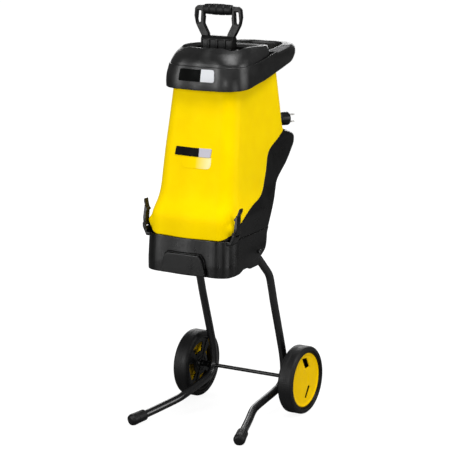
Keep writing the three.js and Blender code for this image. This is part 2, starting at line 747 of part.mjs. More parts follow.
// ------------------------------------------------------------------- plunger
function plungerBlock() {
  let block = alongX([
    [PLUNGER_FRONT, 815], [PLUNGER_REAR, 815], [PLUNGER_REAR, 964],
    [PLUNGER_Y + 7, 972], [PLUNGER_Y - 7, 972], [PLUNGER_FRONT, 964],
  ], -44.5, 44.5);
  // shoulders that stop the plunger on the rests
  block = join(block, box(-54, 54, PLUNGER_FRONT, PLUNGER_REAR, 936.8, 943));
  // shallow pockets in the front and rear faces
  for (const x of [-33, -11.5, 11.5, 33]) {
    for (const sign of SIGNS) {
      const y = PLUNGER_Y + sign * 12;
      block = cut(block, box(x - 7.5, x + 7.5, y - 2, y + 2, 945, 961));
    }
  }
  // sockets for the handle arms
  for (const sign of SIGNS) {
    block = cut(block,
      box(...span(sign, 27, 41), PLUNGER_Y - 6.2, PLUNGER_Y + 6.2, 956, 980));
  }
  return block;
}
add(plunger, "plunger_block", plungerBlock(), "hopper");

// X, Z of the D handle
const HANDLE = [
  [-40.6, 956.4], [-40.6, 972.6], [-44, 976], [-53.5, 978], [-60.5, 1000],
  [-61.5, 1024], [-60, 1044], [-54, 1049], [0, 1050.6],
  [54, 1049], [60, 1044], [61.5, 1024], [60.5, 1000], [53.5, 978],
  [44, 976], [40.6, 972.6], [40.6, 956.4],
  [27.4, 956.4], [27.4, 976], [40.5, 1000], [38.5, 1021],
  [-38.5, 1021], [-40.5, 1000], [-27.4, 976], [-27.4, 956.4],
];
// X, Z of the slot in the right arm
const HANDLE_SLOT = [[45.6, 1034], [54.4, 1034], [56.4, 1010], [54.4, 1001], [47.4, 1003.5]];

// Two slotted arms joined by a thinner cross bar.
function plungerHandle() {
  const slots = SIGNS.map((sign) =>
    alongY(HANDLE_SLOT.map(([x, z]) => [sign * x, z]), -200, -100));
  const arms = cut(alongY(HANDLE, PLUNGER_Y - 5.9, PLUNGER_Y + 5.9),
    ...slots, box(-37, 37, -200, -100, 1018, 1060));
  return join(arms, box(-38.5, 38.5, PLUNGER_Y - 4, PLUNGER_Y + 4, 1030, 1041));
}
add(plunger, "plunger_handle", plungerHandle(), "hopper");

// Ribbed sleeve around the bar.
function plungerGrip() {
  const ribs = 4;
  const length = 72;
  const boreR = 8.4;
  const endR = 12.6;
  const ribR = 13.9;
  const grooveR = 12.4;
  const profile = [[boreR, -length / 2], [endR, -length / 2]];
  for (let i = 0; i < ribs; i++) {
    const start = -length / 2 + (length * i) / ribs;
    const end = start + length / ribs;
    profile.push([ribR, start + 1.2], [ribR, end - 1.2]);
    if (i < ribs - 1) profile.push([grooveR, end]);
  }
  profile.push([endR, length / 2], [boreR, length / 2], [boreR, -length / 2]);
  return lathe(profile, "x", 8);
}
add(plunger, "plunger_grip", plungerGrip(), "rubber", [0, PLUNGER_Y, 1035.5]);

// --------------------------------------------------------------------- motor
const onMotorAxis = (radius, z0, z1, segments, endRadius) =>
  cylinder("z", radius, z0, z1, MOTOR_AXIS, segments, endRadius);
const bearing = (z0, z1) => collar(BEARING_BORE_R, BEARING_R, z0, z1, "z", 14);

const motorFlange = cut(onMotorAxis(46, 488.3, 496, 20),
  onMotorAxis(7, 480, 500, 14),
  onMotorAxis(BEARING_SEAT_R, 489.8, 500, 16));
add(chassis, "motor_flange", motorFlange, "cast");
add(chassis, "bearing_lower", bearing(490.1, 498), "steel", CUTTER_ORIGIN);

const motorStator = cut(onMotorAxis(STATOR_R, 498.4, 566, 20),
  onMotorAxis(STATOR_BORE_R, 490, 580, 16));
add(chassis, "motor_stator", motorStator, "iron");

const motorEndBell = cut(onMotorAxis(STATOR_R, 566.3, 584, 20, 38),
  onMotorAxis(STATOR_BORE_R, 560, 571, 16),
  onMotorAxis(7, 560, 600, 12),
  onMotorAxis(BEARING_SEAT_R, 574, 600, 16));
add(chassis, "motor_end_bell", motorEndBell, "cast");
add(chassis, "bearing_upper", bearing(574.3, 582.3), "steel", CUTTER_ORIGIN);

const motorShaft = lathe([[0, 446], [5, 446], [6.1, 447.5], [6.1, 606], [0, 606]], "z", 14);
add(cutter, "motor_shaft", motorShaft, "steel", CUTTER_ORIGIN);
const motorArmature = collar(6.3, 27.4, 503, 560, "z", 16);
add(cutter, "motor_armature", motorArmature, "copper", CUTTER_ORIGIN);

// Fan: hub, six straight vanes and a base plate.
function coolingFan() {
  const vanes = 6;
  let fan = cylinder("z", 11, 588, 603, [0, 0], 12);
  for (let k = 0; k < vanes; k++) {
    fan = join(fan, box(8, 35, -1.2, 1.2, 588.6, 602).rotateZ((k * 2 * Math.PI) / vanes));
  }
  return cut(join(fan, cylinder("z", 35, 588, 590, [0, 0], 16)),
    cylinder("z", DISC_BORE_R, 580, 610, [0, 0], 14));
}
add(cutter, "cooling_fan", coolingFan(), "black", CUTTER_ORIGIN);

// -------------------------------------------------------------------- cutter
function knifeDisc() {
  let disc = cut(cylinder("z", DISC_R, ...DISC_Z, [0, 0], 26),
    cylinder("z", DISC_BORE_R, 450, 480, [0, 0], 14));
  for (const sign of SIGNS) {
    const slotY = sign * 20;
    disc = cut(disc,
      box(...span(sign, 30, 62), slotY - 3.5, slotY + 3.5, 450, 480),
      cylinder("z", BLADE_SCREW_HOLE_R, 450, 480, [sign * BLADE_SCREW_X, 0], 8));
  }
  return disc;
}
add(cutter, "knife_disc", knifeDisc(), "iron", CUTTER_ORIGIN);

const blade = () =>
  cut(
    alongX([[-14, 467.3], [12, 467.3], [15, 470.6], [15, 472.2], [-14, 472.2]], 28, 68),
    cylinder("z", BLADE_SCREW_HOLE_R, 460, 480, [BLADE_SCREW_X, 0], 8));
const bladeScrew = () =>
  lathe([
    [0, 456], [2.9, 456], [2.9, 472.5], [5.2, 472.5], [4.4, 474.2], [0, 474.2],
  ], "z", 8);
for (const [label, sign] of [["a", 1], ["b", -1]]) {
  const turn = sign > 0 ? 0 : Math.PI;
  add(cutter, "blade_" + label, blade(), "steel", CUTTER_ORIGIN, turn);
  add(cutter, "blade_screw_" + label, bladeScrew(), "zinc", [sign * BLADE_SCREW_X, CUTTER_Y, 0]);
}

const discNut = cut(cylinder("z", 12, 449, 460.6, [0, 0], 6),
  cylinder("z", DISC_BORE_R, 440, 470, [0, 0], 14));
add(cutter, "disc_nut", discNut, "zinc", CUTTER_ORIGIN);

// Fixed counter blade under the deck, behind the feed mouth.
add(chassis, "counter_blade", box(-46, 46, -209.5, -200, 475.6, 481.7), "steel");

// -------------------------------------------------------------- side latches
// X, Z from the pivot: bowed outer face up to the tip, then down the face by the housing
const LEVER = [
  [5.4, 6], [6.2, 16], [5.4, 32], [4.6, 42], [9.2, 53], [9.4, 59.6], [6.4, 60.4],
  [4.4, 52], [0.4, 40], [-3.2, 37], [-3.9, 33], [-0.9, 30.5], [-1.4, 14],
];

function latchLever() {
  const halfWidth = 8.9;
  const outline = arcOutline([[-2.4, 4.4]], [0, 0, LATCH_BARREL_R, 2.05, 0.3, true], LEVER);
  const lever = cut(alongY(outline, -halfWidth, halfWidth, { curveSegments: 6 }),
    box(-2, 20, -20, -5, 42, 80),
    box(-2, 20, 7, 20, 42, 80));
  // the grip end leans towards the rear
  const leaning = lever.warp((point) => {
    if (point[2] > 12) point[1] += (point[2] - 12) * 0.16;
  });
  return cut(
    join(leaning, cylinder("y", LATCH_BARREL_R, -halfWidth, halfWidth, [0, 0], 10)),
    cylinder("y", LATCH_BORE_R, -20, 20, [0, 0], 8));
}

const latchPin = () =>
  lathe([[0, -14.5], [2, -14.5], [2, 14.6], [3.6, 14.6], [3.6, 16.4], [0, 16.4]], "y", 8);

for (const side of SIDES) {
  const latch = body("body_latch_" + side.side);
  const [x, y, z] = LATCH;
  addSided(latch, "latch_lever", side, latchLever(), "black", LATCH);
  add(chassis, "latch_pin_" + side.side, latchPin(), "steel", [side.sign * x, y, z]);
}

// -------------------------------------------------- switch box and mains inlet
// Box that follows the rear wall of the housing, with two button wells.
function switchBox() {
  const rear = cut(box(-62, 44, 34.5, 62, 770, 832),
    envelope(-SHELL_GAP),
    box(-45.4, -20.6, 50, 70, 784, 818),
    box(-11.4, 13.4, 50, 70, 784, 818));
  return join(rear, cut(box(-62, 44, 5, 40, 770, 832), envelope(-SHELL_GAP)));
}
add(upper, "switch_box", switchBox(), "black");

const button = (x0, x1) =>
  alongY([[x0, 784.5], [x1, 784.5], [x1, 817.5], [x0, 817.5]], 55, 64,
    { bevelEnabled: true, bevelThickness: 1, bevelSize: -1, bevelSegments: 1 });
const buttonOn = body("body_button_on");
const buttonOff = body("body_button_off");
add(buttonOn, "button_on", button(-45, -21), "green");
add(buttonOff, "button_off", button(-11, 13), "red");

function inletBody() {
  const place = (shape) => shape.rotateZ(-INLET_TURN).translate(...INLET);
  const pinHole = (z) => place(cylinder("y", 2.3, -10, 4, [0, z], 8));
  const shroud = lathe([
    [0, -62], [17, -62], [17, -46], [20, -45], [20, -41], [17.4, -39], [16.6, -26],
    [17.4, -3], [16, 0], [0, 0],
  ], "y", 14);
  return cut(place(shroud), envelope(-SHELL_GAP),
    pinHole(INLET_PIN_OFFSET), pinHole(-INLET_PIN_OFFSET));
}
add(upper, "inlet_body", inletBody(), "black");

const inletPin = () => lathe([[0, -9.7], [2, -9.7], [2, 17.4], [1, 19.4], [0, 19.4]], "y", 8);
for (const [label, offset] of [["a", INLET_PIN_OFFSET], ["b", -INLET_PIN_OFFSET]]) {
  const [x, y, z] = INLET;
  add(upper, "inlet_pin_" + label, inletPin(), "brass", [x, y, z + offset], -INLET_TURN);
}

export default group;
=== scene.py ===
"""Wheeled electric garden shredder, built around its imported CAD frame.

Z is up with the floor at 0, X runs across (right is +X) and the front faces -Y. Shapes are
drawn in millimetres from the ground point under the axle; new_object turns them into metres.
"""
import bpy
import bmesh
import json
import math
import numpy as np
from mathutils import Vector, Matrix


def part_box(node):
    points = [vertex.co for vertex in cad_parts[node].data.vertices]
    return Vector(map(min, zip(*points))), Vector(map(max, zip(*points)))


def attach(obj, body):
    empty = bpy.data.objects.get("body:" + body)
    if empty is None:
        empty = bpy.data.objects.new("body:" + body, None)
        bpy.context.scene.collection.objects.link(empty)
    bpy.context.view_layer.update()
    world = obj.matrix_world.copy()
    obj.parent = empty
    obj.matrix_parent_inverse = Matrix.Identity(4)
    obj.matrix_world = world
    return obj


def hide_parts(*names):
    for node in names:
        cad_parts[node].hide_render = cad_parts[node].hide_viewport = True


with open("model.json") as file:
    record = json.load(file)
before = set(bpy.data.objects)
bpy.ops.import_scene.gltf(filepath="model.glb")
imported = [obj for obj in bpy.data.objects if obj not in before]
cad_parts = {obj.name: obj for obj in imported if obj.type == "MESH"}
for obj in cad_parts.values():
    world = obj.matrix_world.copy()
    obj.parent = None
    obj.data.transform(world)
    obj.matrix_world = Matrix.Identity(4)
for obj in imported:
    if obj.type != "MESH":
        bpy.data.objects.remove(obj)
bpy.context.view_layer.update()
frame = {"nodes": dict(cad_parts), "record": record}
rod_lo, rod_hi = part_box("axle_rod")
SHIFT = (rod_lo.y + rod_hi.y) / 2          # y of the axle line in the scene, metres
MM = 0.001
SIDES = (-1, 1)                            # signs of x: left, right
scene = bpy.context.scene

# Dimensions shared by several pieces
AXLE_Z = 87.5
AXLE_AT = (0, 0, AXLE_Z)
LATCH_X, LATCH_Y, LATCH_Z = 127.5, -277, 516      # pivot of the right latch
LATCH_BORE_R = 2.4
KNUCKLE_Y, KNUCKLE_Z = KNUCKLE = (80, 733)        # pivot line behind the housing
KNUCKLE_R = 6.8
KNUCKLE_BORE_R = 3.35
LEG_SCREW = (-152, 447)                           # y, z of the screws through the legs


# ------------------------------------------------------------ mesh helpers
def new_object(verts, faces):
    coords = np.asarray(verts, float) * MM
    coords[:, 1] += SHIFT
    mesh = bpy.data.meshes.new("shape")
    mesh.from_pydata([tuple(p) for p in coords], [], [tuple(f) for f in faces])
    mesh.validate()
    mesh.update()
    return link_mesh(mesh)


def link_mesh(mesh, name="shape"):
    ob = bpy.data.objects.new(name, mesh)
    scene.collection.objects.link(ob)
    return ob


def bake(ob):
    """Apply every modifier."""
    depsgraph = bpy.context.evaluated_depsgraph_get()
    mesh = bpy.data.meshes.new_from_object(ob.evaluated_get(depsgraph), depsgraph=depsgraph)
    old = ob.data
    ob.modifiers.clear()
    ob.data = mesh
    bpy.data.meshes.remove(old)
    return ob


def outward(ob):
    """Turn all face normals outwards."""
    bm = bmesh.new()
    bm.from_mesh(ob.data)
    bmesh.ops.recalc_face_normals(bm, faces=bm.faces)
    bm.to_mesh(ob.data)
    bm.free()
    return ob


def boole(body, tool, operation):
    """Boolean that uses up the tool; EXACT takes over where MANIFOLD fails or changes nothing."""
    for solver in ("MANIFOLD", "EXACT"):
        before = body.data.copy()
        mod = body.modifiers.new("boolean", "BOOLEAN")
        mod.object = tool
        mod.operation = operation
        mod.solver = solver
        bake(body)
        after = body.data
        same = (len(after.polygons) == len(before.polygons)
                and len(after.vertices) == len(before.vertices))
        suspect = same and solver == "MANIFOLD" and operation != "UNION"
        if len(after.polygons) and not suspect:
            bpy.data.meshes.remove(before)
            break
        if solver == "MANIFOLD":
            body.data = before
            bpy.data.meshes.remove(after)
    bpy.data.objects.remove(tool)


def cut(body, *tools):
    for tool in tools:
        boole(body, tool, "DIFFERENCE")
    return body


def join(body, *tools):
    for tool in tools:
        boole(body, tool, "UNION")
    return body


def common(body, *tools):
    for tool in tools:
        boole(body, tool, "INTERSECT")
    return body


def merge(body, *others):
    """Put several closed bodies in one mesh, without a boolean."""
    bm = bmesh.new()
    for ob in (body, *others):
        bm.from_mesh(ob.data)
    bm.to_mesh(body.data)
    bm.free()
    for ob in others:
        bpy.data.objects.remove(ob)
    return body


def smooth_shade(ob, angle=38):
    ob.data.shade_smooth()
    ob.data.set_sharp_from_angle(angle=math.radians(angle))
    return ob


def soften(ob, voxel, rounds=4, ratio=None):
    """Voxel remesh and smooth, so that the edges look moulded; ratio thins the mesh after."""
    remesh = ob.modifiers.new("remesh", "REMESH")
    remesh.mode = "VOXEL"
    remesh.voxel_size = voxel * MM
    remesh.adaptivity = 0
    smooth = ob.modifiers.new("smooth", "SMOOTH")
    smooth.factor = 0.5
    smooth.iterations = rounds
    if ratio:
        ob.modifiers.new("decimate", "DECIMATE").ratio = ratio
    bake(ob)
    return smooth_shade(ob, 60)


def bevel(ob, width, segments=3, angle=30, shade=38):
    mod = ob.modifiers.new("bevel", "BEVEL")
    mod.width = width * MM
    mod.segments = segments
    mod.limit_method = "ANGLE"
    mod.angle_limit = math.radians(angle)
    bake(ob)
    return smooth_shade(ob, shade)


def pchip(xs, ys, at):
    """Monotone cubic interpolation, held at the ends."""
    xs, ys, at = (np.asarray(a, float) for a in (xs, ys, at))
    gap = np.diff(xs)
    slope = np.diff(ys) / gap
    tangent = np.zeros_like(ys)
    for i in range(1, len(xs) - 1):
        if slope[i - 1] * slope[i] > 0:
            w1, w2 = 2 * gap[i] + gap[i - 1], gap[i] + 2 * gap[i - 1]
            tangent[i] = (w1 + w2) / (w1 / slope[i - 1] + w2 / slope[i])
    tangent[0], tangent[-1] = slope[0], slope[-1]
    at = np.clip(at, xs[0], xs[-1])
    i = np.clip(np.searchsorted(xs, at) - 1, 0, len(xs) - 2)
    t = (at - xs[i]) / gap[i]
    return ((2 * t**3 - 3 * t**2 + 1) * ys[i] + (t**3 - 2 * t**2 + t) * gap[i] * tangent[i]
            + (-2 * t**3 + 3 * t**2) * ys[i + 1] + (t**3 - t**2) * gap[i] * tangent[i + 1])


def table_at(rows, z):
    """Every column of a table at height z (column 0)."""
    table = np.array(rows, float)
    return [float(pchip(table[:, 0], table[:, k], z)) for k in range(1, table.shape[1])]


def spaced(rows, step):
    """Heights through a table: every row, and steps between the rows."""
    heights = []
    for (low, *_), (high, *_) in zip(rows, rows[1:]):
        count = max(1, int(math.ceil((high - low) / step)))
        heights += [low + (high - low) * i / count for i in range(count)]
    return heights + [rows[-1][0]]


def arc(centre, radius, angles):
    return [(centre[0] + radius * math.cos(a), centre[1] + radius * math.sin(a)) for a in angles]


def flip(points, side):
    return [(side * x, z) for x, z in points]


def span(side, inner, outer):
    """x range between two distances from the middle, low end first."""
    return sorted((side * inner, side * outer))


def ring(front_half, rear_half, front_y, rear_y, front_r, rear_r, crown=0.0,
         corner_steps=12, front_steps=16, side_steps=24, rear_steps=12):
    """Rounded four-sided plan outline with its own half width at each end and a crowned front."""
    points = []

    def corner(x, y, radius, start):
        angles = [math.radians(start + 90 * i / corner_steps) for i in range(corner_steps + 1)]
        points.extend(arc((x, y), radius, angles))

    def line(start, end, steps):
        for i in range(1, steps):
            t = i / steps
            points.append(tuple(a + (b - a) * t for a, b in zip(start, end)))

    front_flat, rear_flat = front_half - front_r, rear_half - rear_r
    corner(-front_flat, front_y + front_r, front_r, 180)
    for i in range(1, front_steps):
        t = -1 + 2 * i / front_steps
        points.append((t * front_flat, front_y - crown * 0.5 * (1 + math.cos(math.pi * t))))
    corner(front_flat, front_y + front_r, front_r, 270)
    line((front_half, front_y + front_r), (rear_half, rear_y - rear_r), side_steps)
    corner(rear_flat, rear_y - rear_r, rear_r, 0)
    line((rear_flat, rear_y), (-rear_flat, rear_y), rear_steps)
    corner(-rear_flat, rear_y - rear_r, rear_r, 90)
    line((-rear_half, rear_y - rear_r), (-front_half, front_y + front_r), side_steps)
    return points


def wall_faces(rows, count):
    """Quads between closed rows of count points each."""
    faces = []
    for j in range(rows - 1):
        for k in range(count):
            a, b = j * count + k, j * count + (k + 1) % count
            faces.append((a, b, b + count, a + count))
    return faces


def solid(verts, rows, count):
    faces = wall_faces(rows, count)
    faces.append(tuple(range(count - 1, -1, -1)))
    faces.append(tuple((rows - 1) * count + k for k in range(count)))
    return outward(new_object(verts, faces))


def loft(levels):
    """Solid through (z, outline) levels."""
    verts = [(x, y, z) for z, outline in levels for x, y in outline]
    return solid(verts, len(levels), len(levels[0][1]))


def on_axis(axis, along, u, v):
    return {"x": (along, u, v), "y": (u, along, v), "z": (u, v, along)}[axis]


def prism(axis, outline, start, end):
    verts = [on_axis(axis, along, u, v) for along in (start, end) for u, v in outline]
    return solid(verts, 2, len(outline))


def block(x0, x1, y0, y1, z0, z1):
    return prism("z", [(x0, y0), (x1, y0), (x1, y1), (x0, y1)], z0, z1)


def fillet(points, radius, steps=4):
    """Round the corners of a closed outline; radius is one number or one per corner."""
    out = []
    for i, point in enumerate(points):
        rad = radius[i] if isinstance(radius, (list, tuple)) else radius
        if rad <= 0:
            out.append(tuple(point))
            continue
        p = Vector(point)
        before, after = Vector(points[i - 1]) - p, Vector(points[(i + 1) % len(points)]) - p
        len_before, len_after = before.length, after.length
        before, after = before / len_before, after / len_after
        angle = math.acos(max(-1, min(1, before.dot(after))))
        if angle > math.radians(174):
            out.append(tuple(p))
            continue
        reach = min(rad / math.tan(angle / 2), len_before * 0.48, len_after * 0.48)
        start, end = p + before * reach, p + after * reach
        for k in range(steps + 1):
            t = k / steps
            out.append(tuple(start * (1 - t) ** 2 + p * 2 * t * (1 - t) + end * t**2))
    return out


def lathe(profile, axis, seg, at=(0, 0, 0), edge=0.5, steps=3, wave=None):
    """Turn a closed (radius, position) outline; corners off the axis are rounded by edge.
    wave(radius, position, angle) is added to the radius."""
    radii = [0 if rad < 1e-6 else edge for rad, _ in profile]
    outline = fillet(profile, radii, steps)
    verts, rows = [], []
    for rad, along in outline:
        if rad < 1e-6:
            rows.append([len(verts)] * seg)
            circle = [(0.0, 0.0)]
        else:
            rows.append(list(range(len(verts), len(verts) + seg)))
            circle = []
            for k in range(seg):
                t = 2 * math.pi * k / seg
                waved = rad + (wave(rad, along, t) if wave else 0)
                circle.append((waved * math.cos(t), waved * math.sin(t)))
        verts += [on_axis(axis, along, u, v) for u, v in circle]
    faces = []
    for i in range(len(outline)):
        a, b = rows[i], rows[(i + 1) % len(outline)]
        for k in range(seg):
            face = [a[k], a[(k + 1) % seg], b[(k + 1) % seg], b[k]]
            face = [q for j, q in enumerate(face) if q != face[j - 1]]
            if len(set(face)) > 2:
                faces.append(face)
    verts = [(x + at[0], y + at[1], z + at[2]) for x, y, z in verts]
    return outward(new_object(verts, faces))


def cyl(axis, rad, start, end, centre=(0, 0), seg=48):
    profile = [(0, start), (rad, start), (rad, end), (0, end)]
    return lathe(profile, axis, seg, on_axis(axis, 0, *centre), edge=0)


def turn_x(ob, degrees, centre):
    """Rotate a mesh about the line along x through a point."""
    pivot = Vector((centre[0] * MM, centre[1] * MM + SHIFT, centre[2] * MM))
    rotation = Matrix.Rotation(math.radians(degrees), 4, "X")
    ob.data.transform(Matrix.Translation(pivot) @ rotation @ Matrix.Translation(-pivot))


def pose(ob, at, rotation):
    """Rotate a mesh drawn about the origin, then move it to a point."""
    ob.data.transform(Matrix.Translation(Vector((0, -SHIFT, 0))))
    move = Matrix.Translation(Vector(at) * MM + Vector((0, SHIFT, 0)))
    ob.data.transform(move @ rotation)


def mirrored(ob):
    mesh = ob.data.copy()
    mesh.transform(Matrix.Scale(-1, 4, (1, 0, 0)))
    mesh.flip_normals()
    return link_mesh(mesh)


def catmull(points, per=12):
    """Centripetal Catmull-Rom curve with per points to a span."""
    pts = [Vector(p) for p in points]
    out = []
    for i in range(len(pts) - 1):
        p1, p2 = pts[i], pts[i + 1]
        p0 = pts[i - 1] if i else p1 * 2 - p2
        p3 = pts[i + 2] if i + 2 < len(pts) else p2 * 2 - p1
        d0, d1, d2 = ((b - a).length ** 0.5 for a, b in ((p0, p1), (p1, p2), (p2, p3)))
        t1 = ((p1 - p0) / d0 - (p2 - p0) / (d0 + d1) + (p2 - p1) / d1) * d1
        t2 = ((p2 - p1) / d1 - (p3 - p1) / (d1 + d2) + (p3 - p2) / d2) * d1
        for k in range(per):
            t = k / per
            out.append(p1 * (2 * t**3 - 3 * t**2 + 1) + t1 * (t**3 - 2 * t**2 + t)
                       + p2 * (-2 * t**3 + 3 * t**2) + t2 * (t**3 - t**2))
    return out + [pts[-1]]


def even(path, step, blur=0):
    """Resample a path at even distances and smooth it blur times."""
    pts = np.array([tuple(p) for p in path])
    length = np.r_[0, np.cumsum(np.linalg.norm(np.diff(pts, axis=0), axis=1))]
    count = max(2, int(length[-1] / step))
    stations = np.linspace(0, length[-1], count + 1)
    out = np.stack([np.interp(stations, length, pts[:, k]) for k in range(3)], 1)
    for _ in range(blur):
        out[1:-1] = (out[:-2] + 2 * out[1:-1] + out[2:]) / 4
    return out


def sweep(path, rad, seg):
    """Round bar along a path."""
    tangents = np.gradient(path, axis=0)
    tangents /= np.linalg.norm(tangents, axis=1)[:, None]
    up = np.array([1.0, 0, 0])
    verts = []
    for point, tangent in zip(path, tangents):
        up = up - tangent * up.dot(tangent)
        up /= np.linalg.norm(up)
        side = np.cross(tangent, up)
        for k in range(seg):
            a = 2 * math.pi * k / seg
            verts.append(point + rad * (math.cos(a) * up + math.sin(a) * side))
    return solid(verts, len(path), seg)


# --------------------------------------------------------------- materials
def shader_tree(name):
    """New material with an output and a Principled shader."""
    material = bpy.data.materials.new(name)
    material.use_nodes = True
    tree = material.node_tree
    tree.nodes.clear()
    out = tree.nodes.new("ShaderNodeOutputMaterial")
    shader = tree.nodes.new("ShaderNodeBsdfPrincipled")
    tree.links.new(shader.outputs[0], out.inputs[0])
    return material, tree, shader


def finish(name, colour, rough, bump, vary, spec=0.5, metal=0.0, grain=None, cells=None,
           rough_vary=0.08, edge=0.0, edge_colour=None, edge_radius=0.6, coat=0.0,
           coat_rough=0.2, streak=None, scratch=0.0, split=None, speck=0.0, tint=None):
    """Procedural finish, lengths in mm. grain or cells sets the size of the surface texture (noise
    or cellular), bump its depth and streak its scale per axis. vary and rough_vary spread colour
    and roughness. edge is the share of edge_colour worn along edges. split is (x, other colour,
    half width of the blend). speck is the strength of pale dots, tint colours the reflection."""
    material, tree, shader = shader_tree(name)
    node, link = tree.nodes.new, tree.links.new
    coords = node("ShaderNodeTexCoord")

    def mapping(scale, rotation=(0, 0, 0)):
        mapped = node("ShaderNodeMapping")
        mapped.inputs["Scale"].default_value = scale
        mapped.inputs["Rotation"].default_value = rotation
        link(coords.outputs["Object"], mapped.inputs["Vector"])
        return mapped.outputs[0]

    base = mapping(scale=(1000, 1000, 1000))      # object space in mm

    def noise(scale, detail, vector=base):
        tex = node("ShaderNodeTexNoise")
        tex.inputs["Scale"].default_value = scale
        tex.inputs["Detail"].default_value = detail
        tex.inputs["Roughness"].default_value = 0.55
        link(vector, tex.inputs["Vector"])
        return tex.outputs["Fac"]

    def voronoi(scale, vector=base):
        tex = node("ShaderNodeTexVoronoi")
        tex.inputs["Scale"].default_value = scale
        link(vector, tex.inputs["Vector"])
        return tex.outputs["Distance"]

    def ramp(value, start, end, low=0.0, high=1.0):
        remap = node("ShaderNodeMapRange")
        remap.inputs["From Min"].default_value = start
        remap.inputs["From Max"].default_value = end
        remap.inputs["To Min"].default_value = low
        remap.inputs["To Max"].default_value = high
        link(value, remap.inputs["Value"])
        return remap.outputs["Result"]

    def combine(operation, first, second):
        maths = node("ShaderNodeMath")
        maths.operation = operation
        link(first, maths.inputs[0])
        link(second, maths.inputs[1])
        return maths.outputs[0]

    def mix(factor, first, second):
        blend = node("ShaderNodeMix")
        blend.data_type = "RGBA"
        link(factor, blend.inputs["Factor"])
        for socket, value in ((blend.inputs[6], first), (blend.inputs[7], second)):   # colours
            if isinstance(value, tuple):
                socket.default_value = (*value, 1)
            else:
                link(value, socket)
        return blend.outputs[2]

    def bump_node(height, distance, normal):
        bumped = node("ShaderNodeBump")
        bumped.inputs["Strength"].default_value = 1.0
        bumped.inputs["Distance"].default_value = distance * MM
        link(height, bumped.inputs["Height"])
        link(normal, bumped.inputs["Normal"])
        return bumped.outputs[0]

    def lighter(gain):
        return tuple(min(1, c * gain + 0.02) for c in colour)

    # broad and fine variation of the colour
    dark = tuple(c * (1 - vary) for c in colour)
    light = tuple(min(1, c * (1 + vary)) for c in colour)
    col = mix(ramp(noise(scale=0.02, detail=2.0), start=0.35, end=0.65), dark, light)
    fine = ramp(noise(scale=0.6, detail=2.0), start=0.3, end=0.7, low=0, high=vary * 1.5)
    col = mix(fine, col, tuple(c * 0.82 for c in colour))
    if split:
        split_x, other, half = split
        axes = node("ShaderNodeSeparateXYZ")
        link(base, axes.inputs[0])
        col = mix(ramp(axes.outputs["X"], start=split_x - half, end=split_x + half), col, other)
    if speck:
        dots = ramp(voronoi(scale=0.35), start=0.08, end=0.2, low=speck, high=0)
        col = mix(dots, col, lighter(1.9))
    rounded = node("ShaderNodeBevel")
    rounded.samples = 4
    rounded.inputs["Radius"].default_value = edge_radius * MM
    if edge:
        # edges are where the rounded normal leaves the true one
        geometry = node("ShaderNodeNewGeometry")
        dot = node("ShaderNodeVectorMath")
        dot.operation = "DOT_PRODUCT"
        link(rounded.outputs[0], dot.inputs[0])
        link(geometry.outputs["Normal"], dot.inputs[1])
        on_edge = ramp(dot.outputs["Value"], start=0.97, end=0.80, low=0, high=1)
        patchy = ramp(noise(scale=0.25, detail=5.0), start=0.40, end=0.68,
                      low=0.15 * edge, high=edge)
        col = mix(combine("MULTIPLY", on_edge, patchy), col, edge_colour or lighter(1.6))
    link(col, shader.inputs["Base Color"])
    roughness = ramp(noise(scale=0.045, detail=3.0), start=0.3, end=0.7,
                     low=max(0.02, rough - rough_vary), high=min(1, rough + rough_vary))
    if scratch:
        # fine scuffs that break up the sheen
        drawn = mapping(scale=(900, 900, 60), rotation=(0.5, 0.7, 0.2))
        scuffs = ramp(noise(scale=0.9, detail=2.0, vector=drawn), start=0.62, end=0.72,
                      low=0, high=scratch)
        roughness = combine("ADD", roughness, scuffs)
    link(roughness, shader.inputs["Roughness"])
    vector = mapping(tuple(1000 * s for s in streak)) if streak else base
    height = voronoi(1.0 / cells, vector) if cells else noise(1.0 / grain, 2.0, vector)
    textured = bump_node(height, bump, rounded.outputs[0])
    # shallow unevenness over the whole surface
    uneven = bump_node(noise(scale=0.035, detail=2.0), 0.12, textured)
    link(uneven, shader.inputs["Normal"])
    shader.inputs["Metallic"].default_value = metal
    shader.inputs["Specular IOR Level"].default_value = spec
    if tint:
        shader.inputs["Specular Tint"].default_value = (*tint, 1)
    shader.inputs["Coat Weight"].default_value = coat
    shader.inputs["Coat Roughness"].default_value = coat_rough
    material.diffuse_color = (*colour, 1)
    return material


def srgb(r, g, b):
    return tuple(((c / 255) / 12.92 if c <= 10 else ((c / 255 + 0.055) / 1.055) ** 2.4)
                 for c in (r, g, b))


